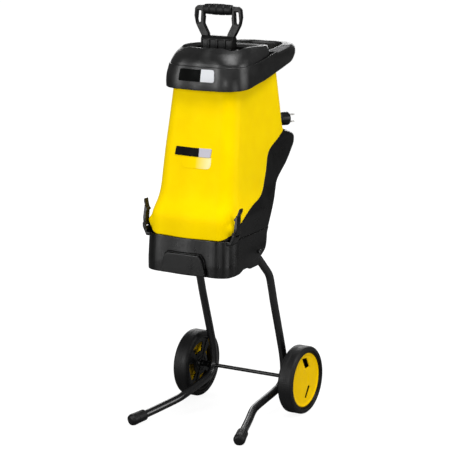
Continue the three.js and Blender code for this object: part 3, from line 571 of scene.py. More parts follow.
YELLOW = srgb(255, 217, 0)
YELLOW_TINT = (1.0, 0.80, 0.02)
MAT = {
    "yellow": finish(
        "yellow_moulded", YELLOW, rough=0.44, spec=0.12, tint=YELLOW_TINT, grain=0.5, bump=0.010,
        vary=0.025, edge=0.25, edge_colour=srgb(252, 226, 70), edge_radius=0.8, scratch=0.05,
        rough_vary=0.05),
    "hub": finish(
        "yellow_hub", srgb(252, 205, 0), rough=0.42, spec=0.12, tint=(1.0, 0.80, 0.05), grain=0.5,
        bump=0.012, vary=0.03, edge=0.35, edge_colour=srgb(250, 222, 60), edge_radius=0.8,
        scratch=0.06),
    "black": finish(
        "black_moulded", srgb(8, 8, 8), rough=0.33, spec=0.32, grain=0.5, bump=0.035, vary=0.10,
        edge=0.25, edge_colour=srgb(52, 52, 54), edge_radius=0.9, scratch=0.06),
    "hopper": finish(
        "charcoal_moulded", srgb(16, 16, 16), rough=0.38, spec=0.52, grain=0.7, bump=0.06,
        vary=0.12, edge=0.25, edge_colour=srgb(60, 60, 61), edge_radius=1.0, scratch=0.07,
        streak=(1, 1, 2.6)),
    "plunger": finish(
        "charcoal_plunger", srgb(6, 6, 6), rough=0.36, spec=0.24, grain=0.6, bump=0.05, vary=0.12,
        edge=0.35, edge_colour=srgb(64, 64, 66), edge_radius=0.9, scratch=0.08),
    "tube": finish(
        "black_paint", srgb(15, 15, 16), rough=0.30, grain=1.6, bump=0.030, vary=0.08, edge=0.10,
        edge_radius=0.5, coat=0.40, coat_rough=0.16, rough_vary=0.06),
    "steel": finish(
        "ground_steel", (0.52, 0.53, 0.55), rough=0.30, metal=1.0, grain=0.4, bump=0.02, vary=0.08,
        edge=0.3, edge_radius=0.4, streak=(0.1, 1, 1), scratch=0.1),
    "zinc": finish(
        "zinc_plate", (0.60, 0.61, 0.62), rough=0.34, metal=1.0, cells=1.4, bump=0.02, vary=0.12,
        edge=0.3, edge_radius=0.4),
    "rubber": finish(
        "black_rubber", srgb(10, 10, 11), rough=0.50, spec=0.30, grain=0.35, bump=0.05, vary=0.12,
        edge=0.35, edge_colour=srgb(50, 50, 52), edge_radius=0.8),
    "tyre": finish(
        "tyre_rubber", srgb(12, 12, 13), rough=0.52, spec=0.30, grain=0.5, bump=0.06, vary=0.14,
        edge=0.35, edge_colour=srgb(56, 56, 58), edge_radius=0.9),
    "iron": finish(
        "dark_steel", (0.16, 0.165, 0.17), rough=0.48, metal=0.9, grain=0.8, bump=0.06, vary=0.15,
        edge=0.4, edge_colour=(0.45, 0.46, 0.47), edge_radius=0.5),
    "copper": finish(
        "copper_windings", (0.42, 0.17, 0.08), rough=0.36, metal=0.9, grain=0.8, bump=0.12,
        vary=0.15, edge_radius=0.4, streak=(1, 1, 0.06)),
    "cast": finish(
        "cast_aluminium", (0.42, 0.43, 0.44), rough=0.50, metal=0.9, cells=0.9, bump=0.08,
        vary=0.1, edge=0.3),
    "white": finish(
        "pale_label", srgb(214, 216, 220), rough=0.5, spec=0.25, grain=1.2, bump=0.008, vary=0.02,
        edge_radius=0.5),
    "dark_label": finish(
        "dark_label", srgb(4, 5, 4), rough=0.5, spec=0.04, grain=1.2, bump=0.008, vary=0.06,
        edge_radius=0.5),
    "silver": finish(
        "two_tone_label", srgb(8, 8, 7), rough=0.5, spec=0.05, grain=1.2, bump=0.008, vary=0.04,
        edge_radius=0.5, split=(13.0, srgb(196, 194, 204), 0.25)),
    "cream": finish(
        "cream_label", YELLOW, rough=0.44, spec=0.12, tint=YELLOW_TINT, grain=1.2, bump=0.006,
        vary=0.02, edge_radius=0.5, split=(24.0, srgb(252, 242, 178), 19.0)),
    "grey": finish(
        "grey_grip", srgb(104, 104, 105), rough=0.60, spec=0.4, cells=1.5, bump=0.22, vary=0.18,
        speck=0.35),
    "green": finish(
        "green_key", srgb(40, 140, 66), rough=0.34, grain=0.6, bump=0.012, vary=0.05, edge=0.3),
    "red": finish(
        "red_key", srgb(178, 32, 26), rough=0.34, grain=0.6, bump=0.012, vary=0.05, edge=0.3),
    "brass": finish(
        "nickel_pin", (0.50, 0.49, 0.46), rough=0.28, metal=1.0, grain=0.5, bump=0.02, vary=0.08,
        edge_radius=0.3, streak=(1, 0.1, 1)),
}

# every CAD node gets a finish by its material slot
SLOT = {s["node"]: s.get("material_slot") for s in frame["record"].get("subparts", [])}
for node_name, cad_ob in frame["nodes"].items():
    cad_mat = MAT.get(SLOT.get(node_name) or "black", MAT["black"])
    if node_name.startswith("hub_disc"):
        cad_mat = MAT["hub"]
    elif node_name.startswith("latch_pin"):
        cad_mat = MAT["black"]
    cad_ob.data.materials.clear()
    cad_ob.data.materials.append(cad_mat)


def place(ob, name, body, slot, *cad, mat=None):
    """Name a piece, give it its finish and hand it to the frame in place of a CAD node."""
    ob.name = name
    ob.data.name = name
    ob.data.materials.clear()
    ob.data.materials.append(MAT[mat or slot])
    for p in ob.data.polygons:
        p.material_index = 0
    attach(ob, body)
    if cad:
        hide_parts(*cad)


def place_pair(right, name, body, slot, cad):
    """Place a right piece and its mirror; {} in the names stands for the side."""
    left = mirrored(right)
    for ob, side in ((right, "right"), (left, "left")):
        place(ob, name.format(side), body.format(side), slot, cad.format(side))


# ---------------------------------------------------------- housing shapes
SHELL_LOW, SHELL_HIGH = 496.7, 893
# z, front half width, rear half width, front y, rear y
ENVELOPE = [
    [SHELL_LOW, 121, 110, -297, -64], [542, 121, 105, -295, -32], [560, 117, 103, -288, -21],
    [580, 112, 101, -278, -12], [602, 108.5, 98.5, -271.5, 0], [620, 107, 97.5, -268, 21],
    [640, 106, 96.5, -264.5, 49], [668, 104.2, 95, -260, 78], [690, 103, 94.5, -256.5, 94],
    [699, 102.5, 94.3, -255, 95], [709, 102, 94.9, -253.5, 87],
    [724.4, 101.03, 95.6, -250.87, 42], [726, 100.93, 95.8, -250.6, 35],
    [785, 97.2, 95, -240.5, 20], [SHELL_HIGH, 91, 90.5, -223.5, 2],
]
# z, radius of the front corners
FRONT_RADIUS = [[496, 44], [560, 44], [590, 41], [640, 38], [680, 36], [900, 36]]
# z, bulge of the front face
FRONT_CROWN = [[496, 8], [560, 8], [600, 6], [650, 5], [900, 5]]
REAR_R = 36


def envelope_ring(z, inset):
    front_half, rear_half, front_y, rear_y = table_at(ENVELOPE, z)
    front_r, crown = table_at(FRONT_RADIUS, z)[0], table_at(FRONT_CROWN, z)[0]
    return ring(front_half - inset, rear_half - inset, front_y + inset, rear_y - inset,
                front_r - inset, REAR_R - inset, crown)


def envelope(inset=0.0, step=8):
    """The whole housing as a solid; a negative inset grows it."""
    heights = spaced(ENVELOPE, step)
    heights[0] += inset
    heights[-1] -= inset
    return loft([(z, envelope_ring(min(max(z, SHELL_LOW), SHELL_HIGH), inset)) for z in heights])


# y, z of the seam between the yellow shell and the black rear shell
SEAM = [
    (-400, 496.7), (-296, 496.7), (-292, 499), (-262, 523), (-226, 542), (-194, 556), (-162, 567),
    (-128, 577), (-107, 593), (-97, 612), (-86, 639), (-79, 666), (-69, 684), (-49, 696),
    (-22, 708), (16, 724.7), (60, 724.7), (200, 724.7),
]
SEAM_Y, SEAM_Z = zip(*SEAM)

# ------------------------------------------------------ yellow upper shell
GRID_Z = np.arange(SHELL_LOW, 893.01, 0.7)
UPPER_TOP = 892.6
UPPER_LEVELS = 132
UPPER_THICK = 3.2


def upper_ring(z):
    """The same walls, carried straight on past the seam instead of out into the rear bulge."""
    front_half, rear_half, front_y, rear_y = table_at(ENVELOPE, z)
    front_r, crown = table_at(FRONT_RADIUS, z)[0], table_at(FRONT_CROWN, z)[0]
    if z < 726:
        slope = (front_half - rear_half) / ((rear_y - REAR_R) - (front_y + front_r))
        rear_half = front_half - slope * (0 - (front_y + front_r))
        rear_y = REAR_R
    return ring(front_half, rear_half, front_y, rear_y, front_r, REAR_R, crown,
                corner_steps=18, front_steps=24, side_steps=110, rear_steps=14)


def blend_heights(grid):
    """Blur the rings over z, for long soft transitions."""
    out = grid.copy()
    spacing = np.gradient(GRID_Z)
    for i, z in enumerate(GRID_Z):
        reach = min(11.0, (z - GRID_Z[0]) / 2.2, (GRID_Z[-1] - z) / 2.2)
        if reach > 0.4:
            weight = np.exp(-((GRID_Z - z) / reach) ** 2) * spacing
            out[i] = (grid * weight.reshape(-1, 1, 1)).sum(0) / weight.sum()
    return out


UPPER = blend_heights(np.array([upper_ring(z) for z in GRID_Z]))     # height, column, (x, y)


def seam_height(column):
    """Height at which a column of the upper shell meets the seam."""
    above = GRID_Z - pchip(SEAM_Y, SEAM_Z, UPPER[:, column, 1])
    below = np.where(above <= 0)[0]
    if not len(below):
        return GRID_Z[0]
    i = below[-1]
    if i + 1 >= len(GRID_Z):
        return GRID_Z[-1]
    t = above[i] / (above[i] - above[i + 1])
    return GRID_Z[i] + t * (GRID_Z[i + 1] - GRID_Z[i])


def lug(x, y, z):
    """Swelling that carries the catch of a side latch."""
    d = ((y + 274) / 15) ** 2 + ((z - 523) / 17) ** 2
    if d < 1 and abs(x) > 96:
        x += math.copysign(8.8 * (1 - d) ** 1.5, x)
    return (x, y, z)


def upper_wall():
    columns = UPPER.shape[1]
    lows = [seam_height(k) for k in range(columns)]
    verts = []
    for j in range(UPPER_LEVELS + 1):
        for k, low in enumerate(lows):
            z = low + (UPPER_TOP - low) * j / UPPER_LEVELS
            x, y = (float(np.interp(z, GRID_Z, UPPER[:, k, i])) for i in (0, 1))
            verts.append(lug(x, y, float(z)))
    ob = new_object(verts, wall_faces(UPPER_LEVELS + 1, columns))
    thicken = ob.modifiers.new("solidify", "SOLIDIFY")
    thicken.thickness = UPPER_THICK * MM
    thicken.offset = -1
    thicken.use_even_offset = False
    thicken.use_quality_normals = True
    return bevel(ob, 0.7, 2, angle=50, shade=50)


def knuckle_arm(side):
    """Rear arm of the upper shell beside the knuckle."""
    low = KNUCKLE_Z - KNUCKLE_R
    outline = [(27, low), (KNUCKLE_Y, low)]
    outline += arc(KNUCKLE, KNUCKLE_R, np.linspace(-1.45, 1.45, 12))
    outline += [(KNUCKLE_Y, KNUCKLE_Z + KNUCKLE_R), (52, 741.5), (27, 760)]
    arm = prism("x", outline, *span(side, 14, 24))
    cut(arm, cyl("x", KNUCKLE_BORE_R, -40, 40, KNUCKLE, 32))
    return bevel(arm, 0.8, 2)


upper = upper_wall()
merge(upper, *[knuckle_arm(side) for side in SIDES])
place(upper, "upper_shell", "upper_body", "yellow", "upper_housing")

# -------------------------------------------------------- black rear shell
REAR_WALL = 3.5
# hollow: z, front half width, rear half width, front y, rear y
INSIDE = [
    [495, 117.5, 106.5, -293.5, -68], [542, 117.3, 101.5, -291.3, -36],
    [560, 113.4, 99.5, -284.3, -25], [580, 108.5, 97.5, -274.4, -16], [602, 105, 95, -268, -4.5],
    [640, 102.5, 93, -261, 44], [668, 100.7, 91.5, -256.5, 73], [690, 99.5, 91, -253, 89],
    [697, 99, 90.5, -251.8, 88], [704, 98.6, 90.5, -250.6, 79], [711, 98.2, 90.5, -249.4, 55],
    [722, 97.6, 91, -247.4, 31], [785, 93.7, 91.4, -237, 16.4], [895, 87.4, 87, -219.7, -1.6],
]
VENT_COUNT, VENT_Z, VENT_PITCH, VENT_HEIGHT, VENT_HALF = 5, 545, 17, 5, 48

seam_ys = np.linspace(-292, 60, 220)
seam_zs = pchip(SEAM_Y, SEAM_Z, seam_ys)
below_seam = [(y + 0.36, z - 0.48) for y, z in zip(seam_ys, seam_zs)]
below_seam += [(150, 724.2), (150, 480), (-291.6, 480)]
rear = common(envelope(0, 3.0), prism("x", below_seam, -150, 150))
cut(rear, loft([(z, ring(*table_at(INSIDE, z), table_at(FRONT_RADIUS, z)[0] - REAR_WALL,
                         REAR_R - REAR_WALL, table_at(FRONT_CROWN, z)[0]))
                for z in spaced(INSIDE, 4)]))
for i in range(VENT_COUNT):
    z0 = VENT_Z + i * VENT_PITCH
    z1 = z0 + VENT_HEIGHT
    slot = [(-VENT_HALF, z0), (VENT_HALF, z0), (VENT_HALF, z1), (-VENT_HALF, z1)]
    cut(rear, prism("y", fillet(slot, 2.3, 5), -60, 80))
outline = [(62, 712), (92, 706), (KNUCKLE_Y + KNUCKLE_R, KNUCKLE_Z)]
outline += arc(KNUCKLE, KNUCKLE_R, np.linspace(0.1, math.pi - 0.1, 14))
knuckle = cut(prism("x", outline, -13.6, 13.6), cyl("x", KNUCKLE_BORE_R, -40, 40, KNUCKLE, 32))
bevel(knuckle, 0.7, 2)
soften(rear, 1.1, 3, 0.5)
merge(rear, knuckle)
place(rear, "rear_shell", "chassis", "black", "rear_housing")

# -------------------------------------------------------------- lower tray
TRAY_LOW, TRAY_TOP = 402, 496.4
TRAY_WALL = 4
# z, front half width, rear half width, front y, rear y
TRAY = [
    [TRAY_LOW, 124.8, 116.3, -308.5, -118], [430, 125, 116.5, -308.4, -111],
    [446, 124.7, 116.5, -307.6, -91], [467, 124.2, 113, -306.3, -77],
    [484, 123.7, 111.5, -305.2, -72], [TRAY_TOP, 123.2, 111, -304.4, -64],
]
HOLLOW_Z = (390, 402, 416, 430, 438, 446, 456, 467, 476, 484, 496.4, 500)
# side view of the tray: y, z, corner radius
TRAY_SIDE = [
    (-340, 406.5, 0), (-292, 406.5, 8), (-270, 410, 8), (-252, 411.5, 8), (-236, 417, 6),
    (-214, 418, 6), (-196, 412, 6), (-150, 412, 3), (-141, 420, 3), (-116, 420, 3),
    (-108, 430, 3), (-60, 440, 0), (-20, 520, 0), (-340, 520, 0),
]
# centre line of the right leg, top to foot
LEG_X = 103
LEG = [
    (LEG_X, -166, 461), (LEG_X, -142, 437), (104, -100, 396), (105, -76, 370), (105, -63, 335),
    (105, -52, 298), (105, -32, 238), (105, -14, 184), (105, -3, 148), (105, 3.2, 116),
    (105, 2, 87.5), (105, -14, 68.5), (105, -45, 59), (105, -100, 50), (106, -146, 42.4),
    (109, -163, 38.8), (124, -210, 29.2), (140, -262, 20.2), (154, -305, 13.6),
]
EAR_R = 4.6
EAR_THICK = 5
# x, z of the web between the two ears of the right latch
EAR_WEB = [(112, 489), (121, 489), (129, 503), (130.2, 507.8), (127.5, 509.1), (122.2, 510.9),
           (120.2, 505.4), (112, 496.4)]
# x, z of the raised panel on the front
PANEL = [(-62, 411.5), (62, 411.5), (52, 446), (43, 457), (-43, 457), (-52, 446)]


def tray_ring(z, inset):
    sizes = zip(table_at(TRAY, z), (-inset, -inset, inset, -inset))
    return ring(*[size + change for size, change in sizes], 46 - inset, 35 - inset, 5)


def tray_outer(inset):
    return loft([(z, tray_ring(z, inset)) for z in spaced(TRAY, 6)])


def tray_side():
    points = [(y, z) for y, z, _ in TRAY_SIDE]
    return prism("x", fillet(points, [r for _, _, r in TRAY_SIDE], 4), -150, 150)


def in_tray(box):
    """Trim a box to the outside of the tray."""
    return common(tray_outer(0.02), tray_side(), box)


def outside_shell(piece):
    """Clear the room of the upper shell, above the tray."""
    return cut(piece, block(-119.6, 119.6, -400, 0, TRAY_TOP, 700))


def latch_ear(side, y):
    root = 103 if y < -280 else 114
    ear = [(root, 488), (root, TRAY_TOP), (121.6, 504), (LATCH_X - EAR_R, LATCH_Z)]
    ear += arc((LATCH_X, LATCH_Z), EAR_R, np.linspace(math.pi - 0.2, 0.2, 10))
    ear += [(131, 508), (121, 488)]
    return outside_shell(prism("y", flip(ear, side), y, y + EAR_THICK))


def panel_channel():
    """Shallow channel that frames the raised panel."""
    def grown(by):
        return [(x + math.copysign(by * 1.05, x), z + (by if z > 420 else -12)) for x, z in PANEL]

    channel = cut(prism("y", fillet(grown(4.6), 3, 4), -330, -290),
                  prism("y", fillet(grown(1.0), 3, 4), -340, -280))
    return cut(channel, tray_outer(1.6))


tray = common(tray_outer(0), tray_side())
hollow = loft([(z, tray_ring(min(max(z, TRAY_LOW), TRAY_TOP), TRAY_WALL)) for z in HOLLOW_Z])
cut(hollow, block(-150, 150, -400, 0, 482, 488))
cut(tray, hollow)
join(tray, in_tray(block(-116, 116, -128, -60, 380, 424)))
for side in SIDES:
    join(tray, in_tray(block(*span(side, 86, 117), -186, -104, 400, 478)))
for side in SIDES:
    for y in (-291.5, -267.6):
        join(tray, latch_ear(side, y))
    join(tray, outside_shell(prism("y", flip(EAR_WEB, side), -288, -265)))
for side in SIDES:
    cut(tray, cyl("y", LATCH_BORE_R, -295, -260, (side * LATCH_X, LATCH_Z), 24))
# openings through the deck
cut(tray, loft([(z, ring(50, 50, -249, -211, 8, 8)) for z in (470, 495)]),
    cyl("z", 17, 470, 495, (0, -160)))
# sockets for the legs and their screws
for side in SIDES:
    bore = [(side * x, y, z) for x, y, z in [(LEG_X, -172, 467)] + LEG[:5]]
    cut(tray, sweep(even(catmull(bore), 4), 10.6, 28))
    relief = [(-148, 428), (-134, 442), (-90, 398), (-104, 384)]
    cut(tray, prism("x", relief, *span(side, 100, 130)))
    cut(tray, cyl("x", 3.3, *span(side, 80, 130), LEG_SCREW, 20))
cut(tray, panel_channel())
soften(tray, 1.0, 3, 0.55)
place(tray, "lower_tray", "chassis", "black", "lower_housing")

outline = [(x * 1.035, z + (2.2 if z > 420 else -2.2)) for x, z in PANEL]
panel = prism("y", fillet(outline, 4, 4), -319.8, -300)
cut(panel, tray_outer(0.35))
soften(panel, 0.7, 8)
place(panel, "discharge_cover", "chassis", "black", "discharge_panel")

# --------------------------------------------------------------- leg frame
leg = smooth_shade(sweep(even(catmull(LEG), 2.5, 1), 10.0, 40), 50)
place_pair(leg, "leg_{}", "chassis", "tube", "leg_tube_{}")

# radius, position along the leg from its end
FOOT = [
    (0, 13.0), (9, 12.4), (13, 10), (15.2, 4), (14.9, -8), (14.0, -9.4), (14.6, -10.8),
    (14.3, -33), (13.2, -36), (10.3, -36.2), (10.3, 3.5), (0, 3.5),
]
FOOT_GROOVES = 12
FOOT_R = 15.2
foot = lathe(FOOT, "z", 56, edge=1.4, steps=4)
for centre in arc((0, 0), FOOT_R, [math.radians(k * 360 / FOOT_GROOVES)
                                   for k in range(FOOT_GROOVES)]):
    cut(foot, cyl("z", 1.3, -31, -13, centre, 12))
leg_end = Vector(LEG[-1])
leg_dir = (leg_end - Vector(LEG[-2])).normalized()
pose(foot, leg_end, Vector((0, 0, 1)).rotation_difference(leg_dir).to_matrix().to_4x4())
cut(foot, block(100, 220, -360, -240, -20, 0.02))     # flat on the floor
soften(foot, 0.5, 3, 0.6)
place_pair(foot, "foot_{}", "chassis", "rubber", "foot_cap_{}")

# profiles along the axle: radius, x
ROD = [(0, -162.8), (4.2, -162.8), (5, -162), (5, 162), (4.2, 162.8), (0, 162.8)]
SPACER = [(5.3, 115.8), (8.5, 115.8), (8.5, 120), (7.6, 121), (7.6, 133), (8.5, 134),
          (8.5, 138.2), (5.3, 138.2)]
CLIP = [(5.12, 160.2), (9.5, 160.2), (9.5, 161), (8, 162.2), (5.12, 162.2)]
SCREW = [(0, 84), (3, 84), (3, 120.5), (5.8, 120.5), (5.8, 122), (4.4, 123.4), (2.4, 123.4),
         (2.2, 122.2), (0, 122.2)]
rod = lathe(ROD, "x", 32, AXLE_AT, edge=0.3)
place(smooth_shade(rod), "axle_bar", "chassis", "tube", "axle_rod", mat="black")

right_parts = [
    lathe(SPACER, "x", 40, AXLE_AT, edge=0.5),
    lathe(CLIP, "x", 48, AXLE_AT, edge=0.25),
    lathe(SCREW, "x", 32, (0, *LEG_SCREW), edge=0.3),
]
left_parts = [mirrored(ob) for ob in right_parts]
PART_NAMES = (("wheel_spacer_", "black", "axle_spacer_"), ("axle_ring_", "zinc", "axle_clip_"),
              ("socket_screw_", "tube", "leg_screw_"))
for side, parts in (("right", right_parts), ("left", left_parts)):
    for ob, (name, slot, cad) in zip(parts, PART_NAMES):
        place(smooth_shade(ob), name + side, "chassis", slot, cad + side)

# ------------------------------------------------------------------ wheels
WHEEL_X = 155.4
WHEEL_AT = (WHEEL_X, 0, AXLE_Z)
HALF = 41.4 / 2                 # half the width of the tyre
# profiles: radius, x from the middle of the wheel, outer face at +x
TYRE = [
    (74.5, -HALF + 0.6), (76.5, -HALF), (81, -HALF + 0.2), (84.6, -HALF + 1.6),
    (86.4, -HALF + 3.6), (87.3, -HALF + 6.4), (87.3, -3.4), (87.0, -2.9), (87.0, 2.9),
    (87.3, 3.4), (87.3, HALF - 6.4), (86.4, HALF - 3.6), (84.6, HALF - 1.6), (81, HALF - 0.2),
    (76.5, HALF), (74.5, HALF - 0.6), (74.5, HALF - 4), (74.5, -HALF + 4),
]
RIM = [
    (5.12, -16.7), (12, -16.7), (13.4, -14.7), (14, -13), (66, -13), (67.6, -HALF + 3),
    (69, -HALF + 1.5), (73.8, -HALF + 1.5), (73.8, HALF - 2.5), (71.2, HALF - 2.5), (68, -9),
    (14, -9), (14, 4.4), (5.12, 4.4),
]
RING_RIB = [(20, -14.6), (22.4, -14.6), (22.4, -12.6), (20, -12.6)]
DISC = [(0, 13.2), (17, 13.2), (19, 13.7), (61, 13.7), (65, 14.9), (67.4, 16.2), (69.2, 15.9),
        (70.2, 14.3), (69.6, 11.2), (0, 11.2)]
# openings in the disc: (y, z) outline, corner radius, outside and inside of the pocket behind
OPENINGS = [
    ([(-17, 147), (0.5, 116.5), (23, 117.5), (8, 143.5)], 2.0,
     [(-22, 151), (-1, 112.5), (28, 113.5), (11, 148)],
     [(-18.5, 148.2), (0.2, 114.9), (24.6, 115.8), (8.8, 145)]),
    ([(28.4, 64.0), (17.0, 69.0), (-1.6, 40.0), (9.0, 36.0)], 3.0,
     [(31, 64.8), (16.4, 72), (-4.6, 39.6), (9.6, 32.4)],
     [(28.8, 64.4), (16.8, 69.6), (-2.2, 39.8), (9.2, 35.2)]),
]
SPOKES = 4


def tread(rad, along, angle):
    """Fine cross ribs on the running surface, fading towards the shoulders."""
    if rad < 85.5:
        return 0.0
    depth = max(0.0, 1 - (abs(along) / 16.5) ** 4)
    slant = (2.2 if along > 0 else -2.2) * abs(along) / 6
    return -0.30 * depth * (0.5 + 0.5 * math.cos(90 * angle + slant))


def rim_window(middle):
    """Cutter between two spokes of the rim, centred on an angle."""
    start, end = math.radians(middle - 27), math.radians(middle + 27)
    outline = arc((0, AXLE_Z), 57, np.linspace(start, end, 16))
    outline += arc((0, AXLE_Z), 32, np.linspace(end, start, 10))
    radii = [4 if i in (0, 15, 16, 25) else 0 for i in range(26)]
    return prism("x", fillet(outline, radii, 4), 138, 150)


def spoke_rib(angle):
    rib = block(WHEEL_X - 15.6, WHEEL_X - 12.6, 13.5, 66.5, AXLE_Z - 1.4, AXLE_Z + 1.4)
    turn_x(rib, angle, WHEEL_AT)
    return bevel(rib, 0.6, 2)


def wheel(side, window_angle, rib_angle):
    tyre = lathe(TYRE, "x", 540, WHEEL_AT, edge=1.0, wave=tread)
    rim = lathe(RIM, "x", 120, WHEEL_AT, edge=0.8)
    pitch = 360 // SPOKES
    for k in range(SPOKES):
        cut(rim, rim_window(k * pitch + window_angle))
    ribs = [spoke_rib(rib_angle + pitch * k) for k in range(SPOKES)]
    ribs.append(smooth_shade(lathe(RING_RIB, "x", 96, WHEEL_AT, edge=0.6)))
    disc = lathe(DISC, "x", 160, WHEEL_AT, edge=1.2, steps=4)
    pockets = []
    for opening, radius, outside, inside in OPENINGS:
        cut(disc, prism("x", fillet(opening, radius, 4), 155, 180))
        pockets.append(cut(prism("x", outside, 151, 166.2), prism("x", inside, 153, 170)))
    if side == "left":
        parts = []
        for ob in (tyre, rim, disc, *pockets, *ribs):
            parts.append(mirrored(ob))
            bpy.data.objects.remove(ob)
        tyre, rim, disc, *others = parts
        pockets, ribs = others[:len(OPENINGS)], others[len(OPENINGS):]
        for ob in (disc, *pockets):
            turn_x(ob, 64.6, (-WHEEL_X, 0, AXLE_Z))
    bevel(rim, 0.7, 2, angle=40)
    merge(rim, *pockets, *ribs)
    bevel(disc, 0.6, 2, angle=50, shade=45)
    body = "wheel_" + side
    place(smooth_shade(tyre, 40), "wheel_tyre_" + side, body, "tyre", "tyre_" + side)
    place(rim, "wheel_rim_" + side, body, "black", "rim_" + side)
    place(disc, "wheel_disc_" + side, body, "yellow", "hub_disc_" + side, mat="hub")


wheel("right", window_angle=-4, rib_angle=41)
wheel("left", window_angle=17, rib_angle=62)

# ------------------------------------------------------------ hopper skirt
# z, front half width, rear half width, front y, rear y, front radius, rear radius
SKIRT = [
    [840, 112.6, 90, -247.5, 92, 58, 50], [862, 114, 91, -249.5, 94, 60, 52],
    [880, 113.2, 92, -248.4, 95, 60, 53], [890, 111.7, 93, -246.6, 96, 60, 53],
    [900, 109.8, 95, -244.4, 99.5, 60, 53], [907, 108.6, 96.6, -243.2, 102.4, 60, 53],
    [915, 108.8, 98, -242.6, 104.2, 60, 53], [923, 108.8, 98, -242.2, 104.2, 60, 53],
    [930, 108.6, 97, -241.8, 102.6, 60, 53], [936, 108.4, 94.4, -241.4, 99, 60, 53],
    [941, 108.2, 90, -241, 93, 60, 53],
]
# y, z of the lower and upper edges in side view
SKIRT_BOTTOM = [
    (-300, 848.5), (-236, 850), (-190, 853.5), (-140, 859.5), (-100, 863.8), (-65, 869.5),
    (-26, 875.5), (20, 884), (62, 894.5), (92, 908.5), (130, 929),
]
SKIRT_TOP = [(-300, 906), (-164, 908.5), (-86, 918.5), (-40, 926.5), (20, 934), (60, 937.5),
             (130, 938.5)]


def skirt_solid(inset):
    levels = []
    for z in spaced(SKIRT, 6):
        front_half, rear_half, front_y, rear_y, front_r, rear_r = table_at(SKIRT, z)
        levels.append((z, ring(front_half - inset, rear_half - inset, front_y + inset,
                               rear_y - inset, front_r - inset, rear_r - inset, 5,
                               corner_steps=20, front_steps=20, side_steps=26)))
    return loft(levels)


def skirt_side(lift_bottom, lift_top):
    ys = np.linspace(-300, 130, 90)
    low = pchip(*zip(*SKIRT_BOTTOM), ys) + lift_bottom
    high = pchip(*zip(*SKIRT_TOP), ys) + lift_top
    return prism("x", list(zip(ys, low)) + list(zip(ys[::-1], high[::-1])), -160, 160)


def hand_hole(front_y, low, grow=0.0):
    levels = (low, 990)
    return loft([(z, ring(74 + grow, 70 + grow, front_y - grow, 81 + grow, 14, 44, 0))
                 for z in levels])


skirt = common(skirt_solid(0), skirt_side(0, 0))
cut(skirt, common(skirt_solid(4), skirt_side(5, 60), block(-150, 150, -400, -37.4, 800, 1000)))
cut(skirt, envelope(-0.5))
cut(skirt, hand_hole(-23, 899.5), hand_hole(13, 800))
for side in (1, -1)[::-1]:
    seat = [(-32, 923.4), (38, 931.7), (38, 960), (-32, 960)]     # recess for the grip inlay
    cut(skirt, prism("x", seat, *span(side, 80, 120)))
soften(skirt, 1.0, 5)
# extra smoothing round the carrying bar and below its arms
bar = skirt.vertex_groups.new(name="bar")
for v in skirt.data.vertices:
    y = (v.co.y - SHIFT) / MM
    x = abs(v.co.x / MM)
    weight = min(1, max(0, (y - 40) / 14))
    if y < 46 and x > 84 and v.co.z / MM < 921:
        weight = max(weight, min(1, max(0, (y + 60) / 30)))
    if weight > 0:
        bar.add([v.index], weight, "REPLACE")
bar_smooth = skirt.modifiers.new("smooth", "SMOOTH")
bar_smooth.factor = 0.5
bar_smooth.iterations = 60
bar_smooth.vertex_group = "bar"
skirt.modifiers.new("decimate", "DECIMATE").ratio = 0.5
bake(skirt)
smooth_shade(skirt, 60)
place(skirt, "hopper_lower", "upper_body", "hopper", "hopper_skirt")

GRIP_SIDE = [(-31.7, 923.8), (37.7, 932.1), (37.7, 935.9), (20, 934.4), (-31.7, 928)]
grip = common(skirt_solid(0.4), prism("x", GRIP_SIDE, 80.3, 120))
cut(grip, hand_hole(-23, 899.5, 0.4))
soften(grip, 0.55, 4)
# pebbled skin of the inlay
for v in grip.data.vertices:
    if v.normal.z > 0.5:
        p = v.co / MM
        v.co.z += 0.22 * MM * math.sin(p.x * 2.4) * math.sin(p.y * 2.4) - 0.1 * MM
place_pair(grip, "arm_grip_{}", "upper_body", "grey", "carry_grip_{}")

# -------------------------------------------------------------- hopper top
# z, front half width, front y, rear y, front radius, narrowing to the rear
TOP_TIER = [
    [898, 106.4, -240.4, -38, 57, 11], [910, 105.8, -239.4, -38, 58, 11],
    [920, 103.4, -235.8, -38.4, 60, 9], [934, 98.4, -226, -39, 62, 6],
    [943, 93.2, -215.5, -40, 63, 4], [951, 87, -204, -41.5, 62, 3],
]
# y, z of the upper edge in side view
TIER_TOP = [(-300, 947), (-205, 947.8), (-135, 948.6), (-57, 944.4), (0, 940.4)]
# z, half width, front y, rear y, corner radius
THROAT = [
    (880, 72, -200, -94, 16), (918, 73, -201, -90, 18), (928, 74.5, -202, -84, 20),
    (937, 78, -203.5, -68, 24), (944, 81.5, -204, -56, 28), (950, 83, -203.5, -50, 30),
]


def tier(inset):
    levels = []
    for i, z in enumerate(spaced(TOP_TIER, 3)):
        half, front_y, rear_y, front_r, narrowing = table_at(TOP_TIER, z)
        outline = ring(half - inset, half - inset - narrowing, front_y + inset, rear_y - inset,
                       front_r - inset, 30 - inset, 5,
                       corner_steps=20, front_steps=20, side_steps=20)
        levels.append((z - (4 if (i == 0 and inset) else 0), outline))
    return loft(levels)


def under_top(lift):
    edge = [(y, z + lift) for y, z in TIER_TOP]
    return prism("x", [(-300, 800)] + edge + [(0, 800)], -150, 150)


top = cut(common(tier(0), under_top(0)), common(tier(3.5), under_top(-9)))
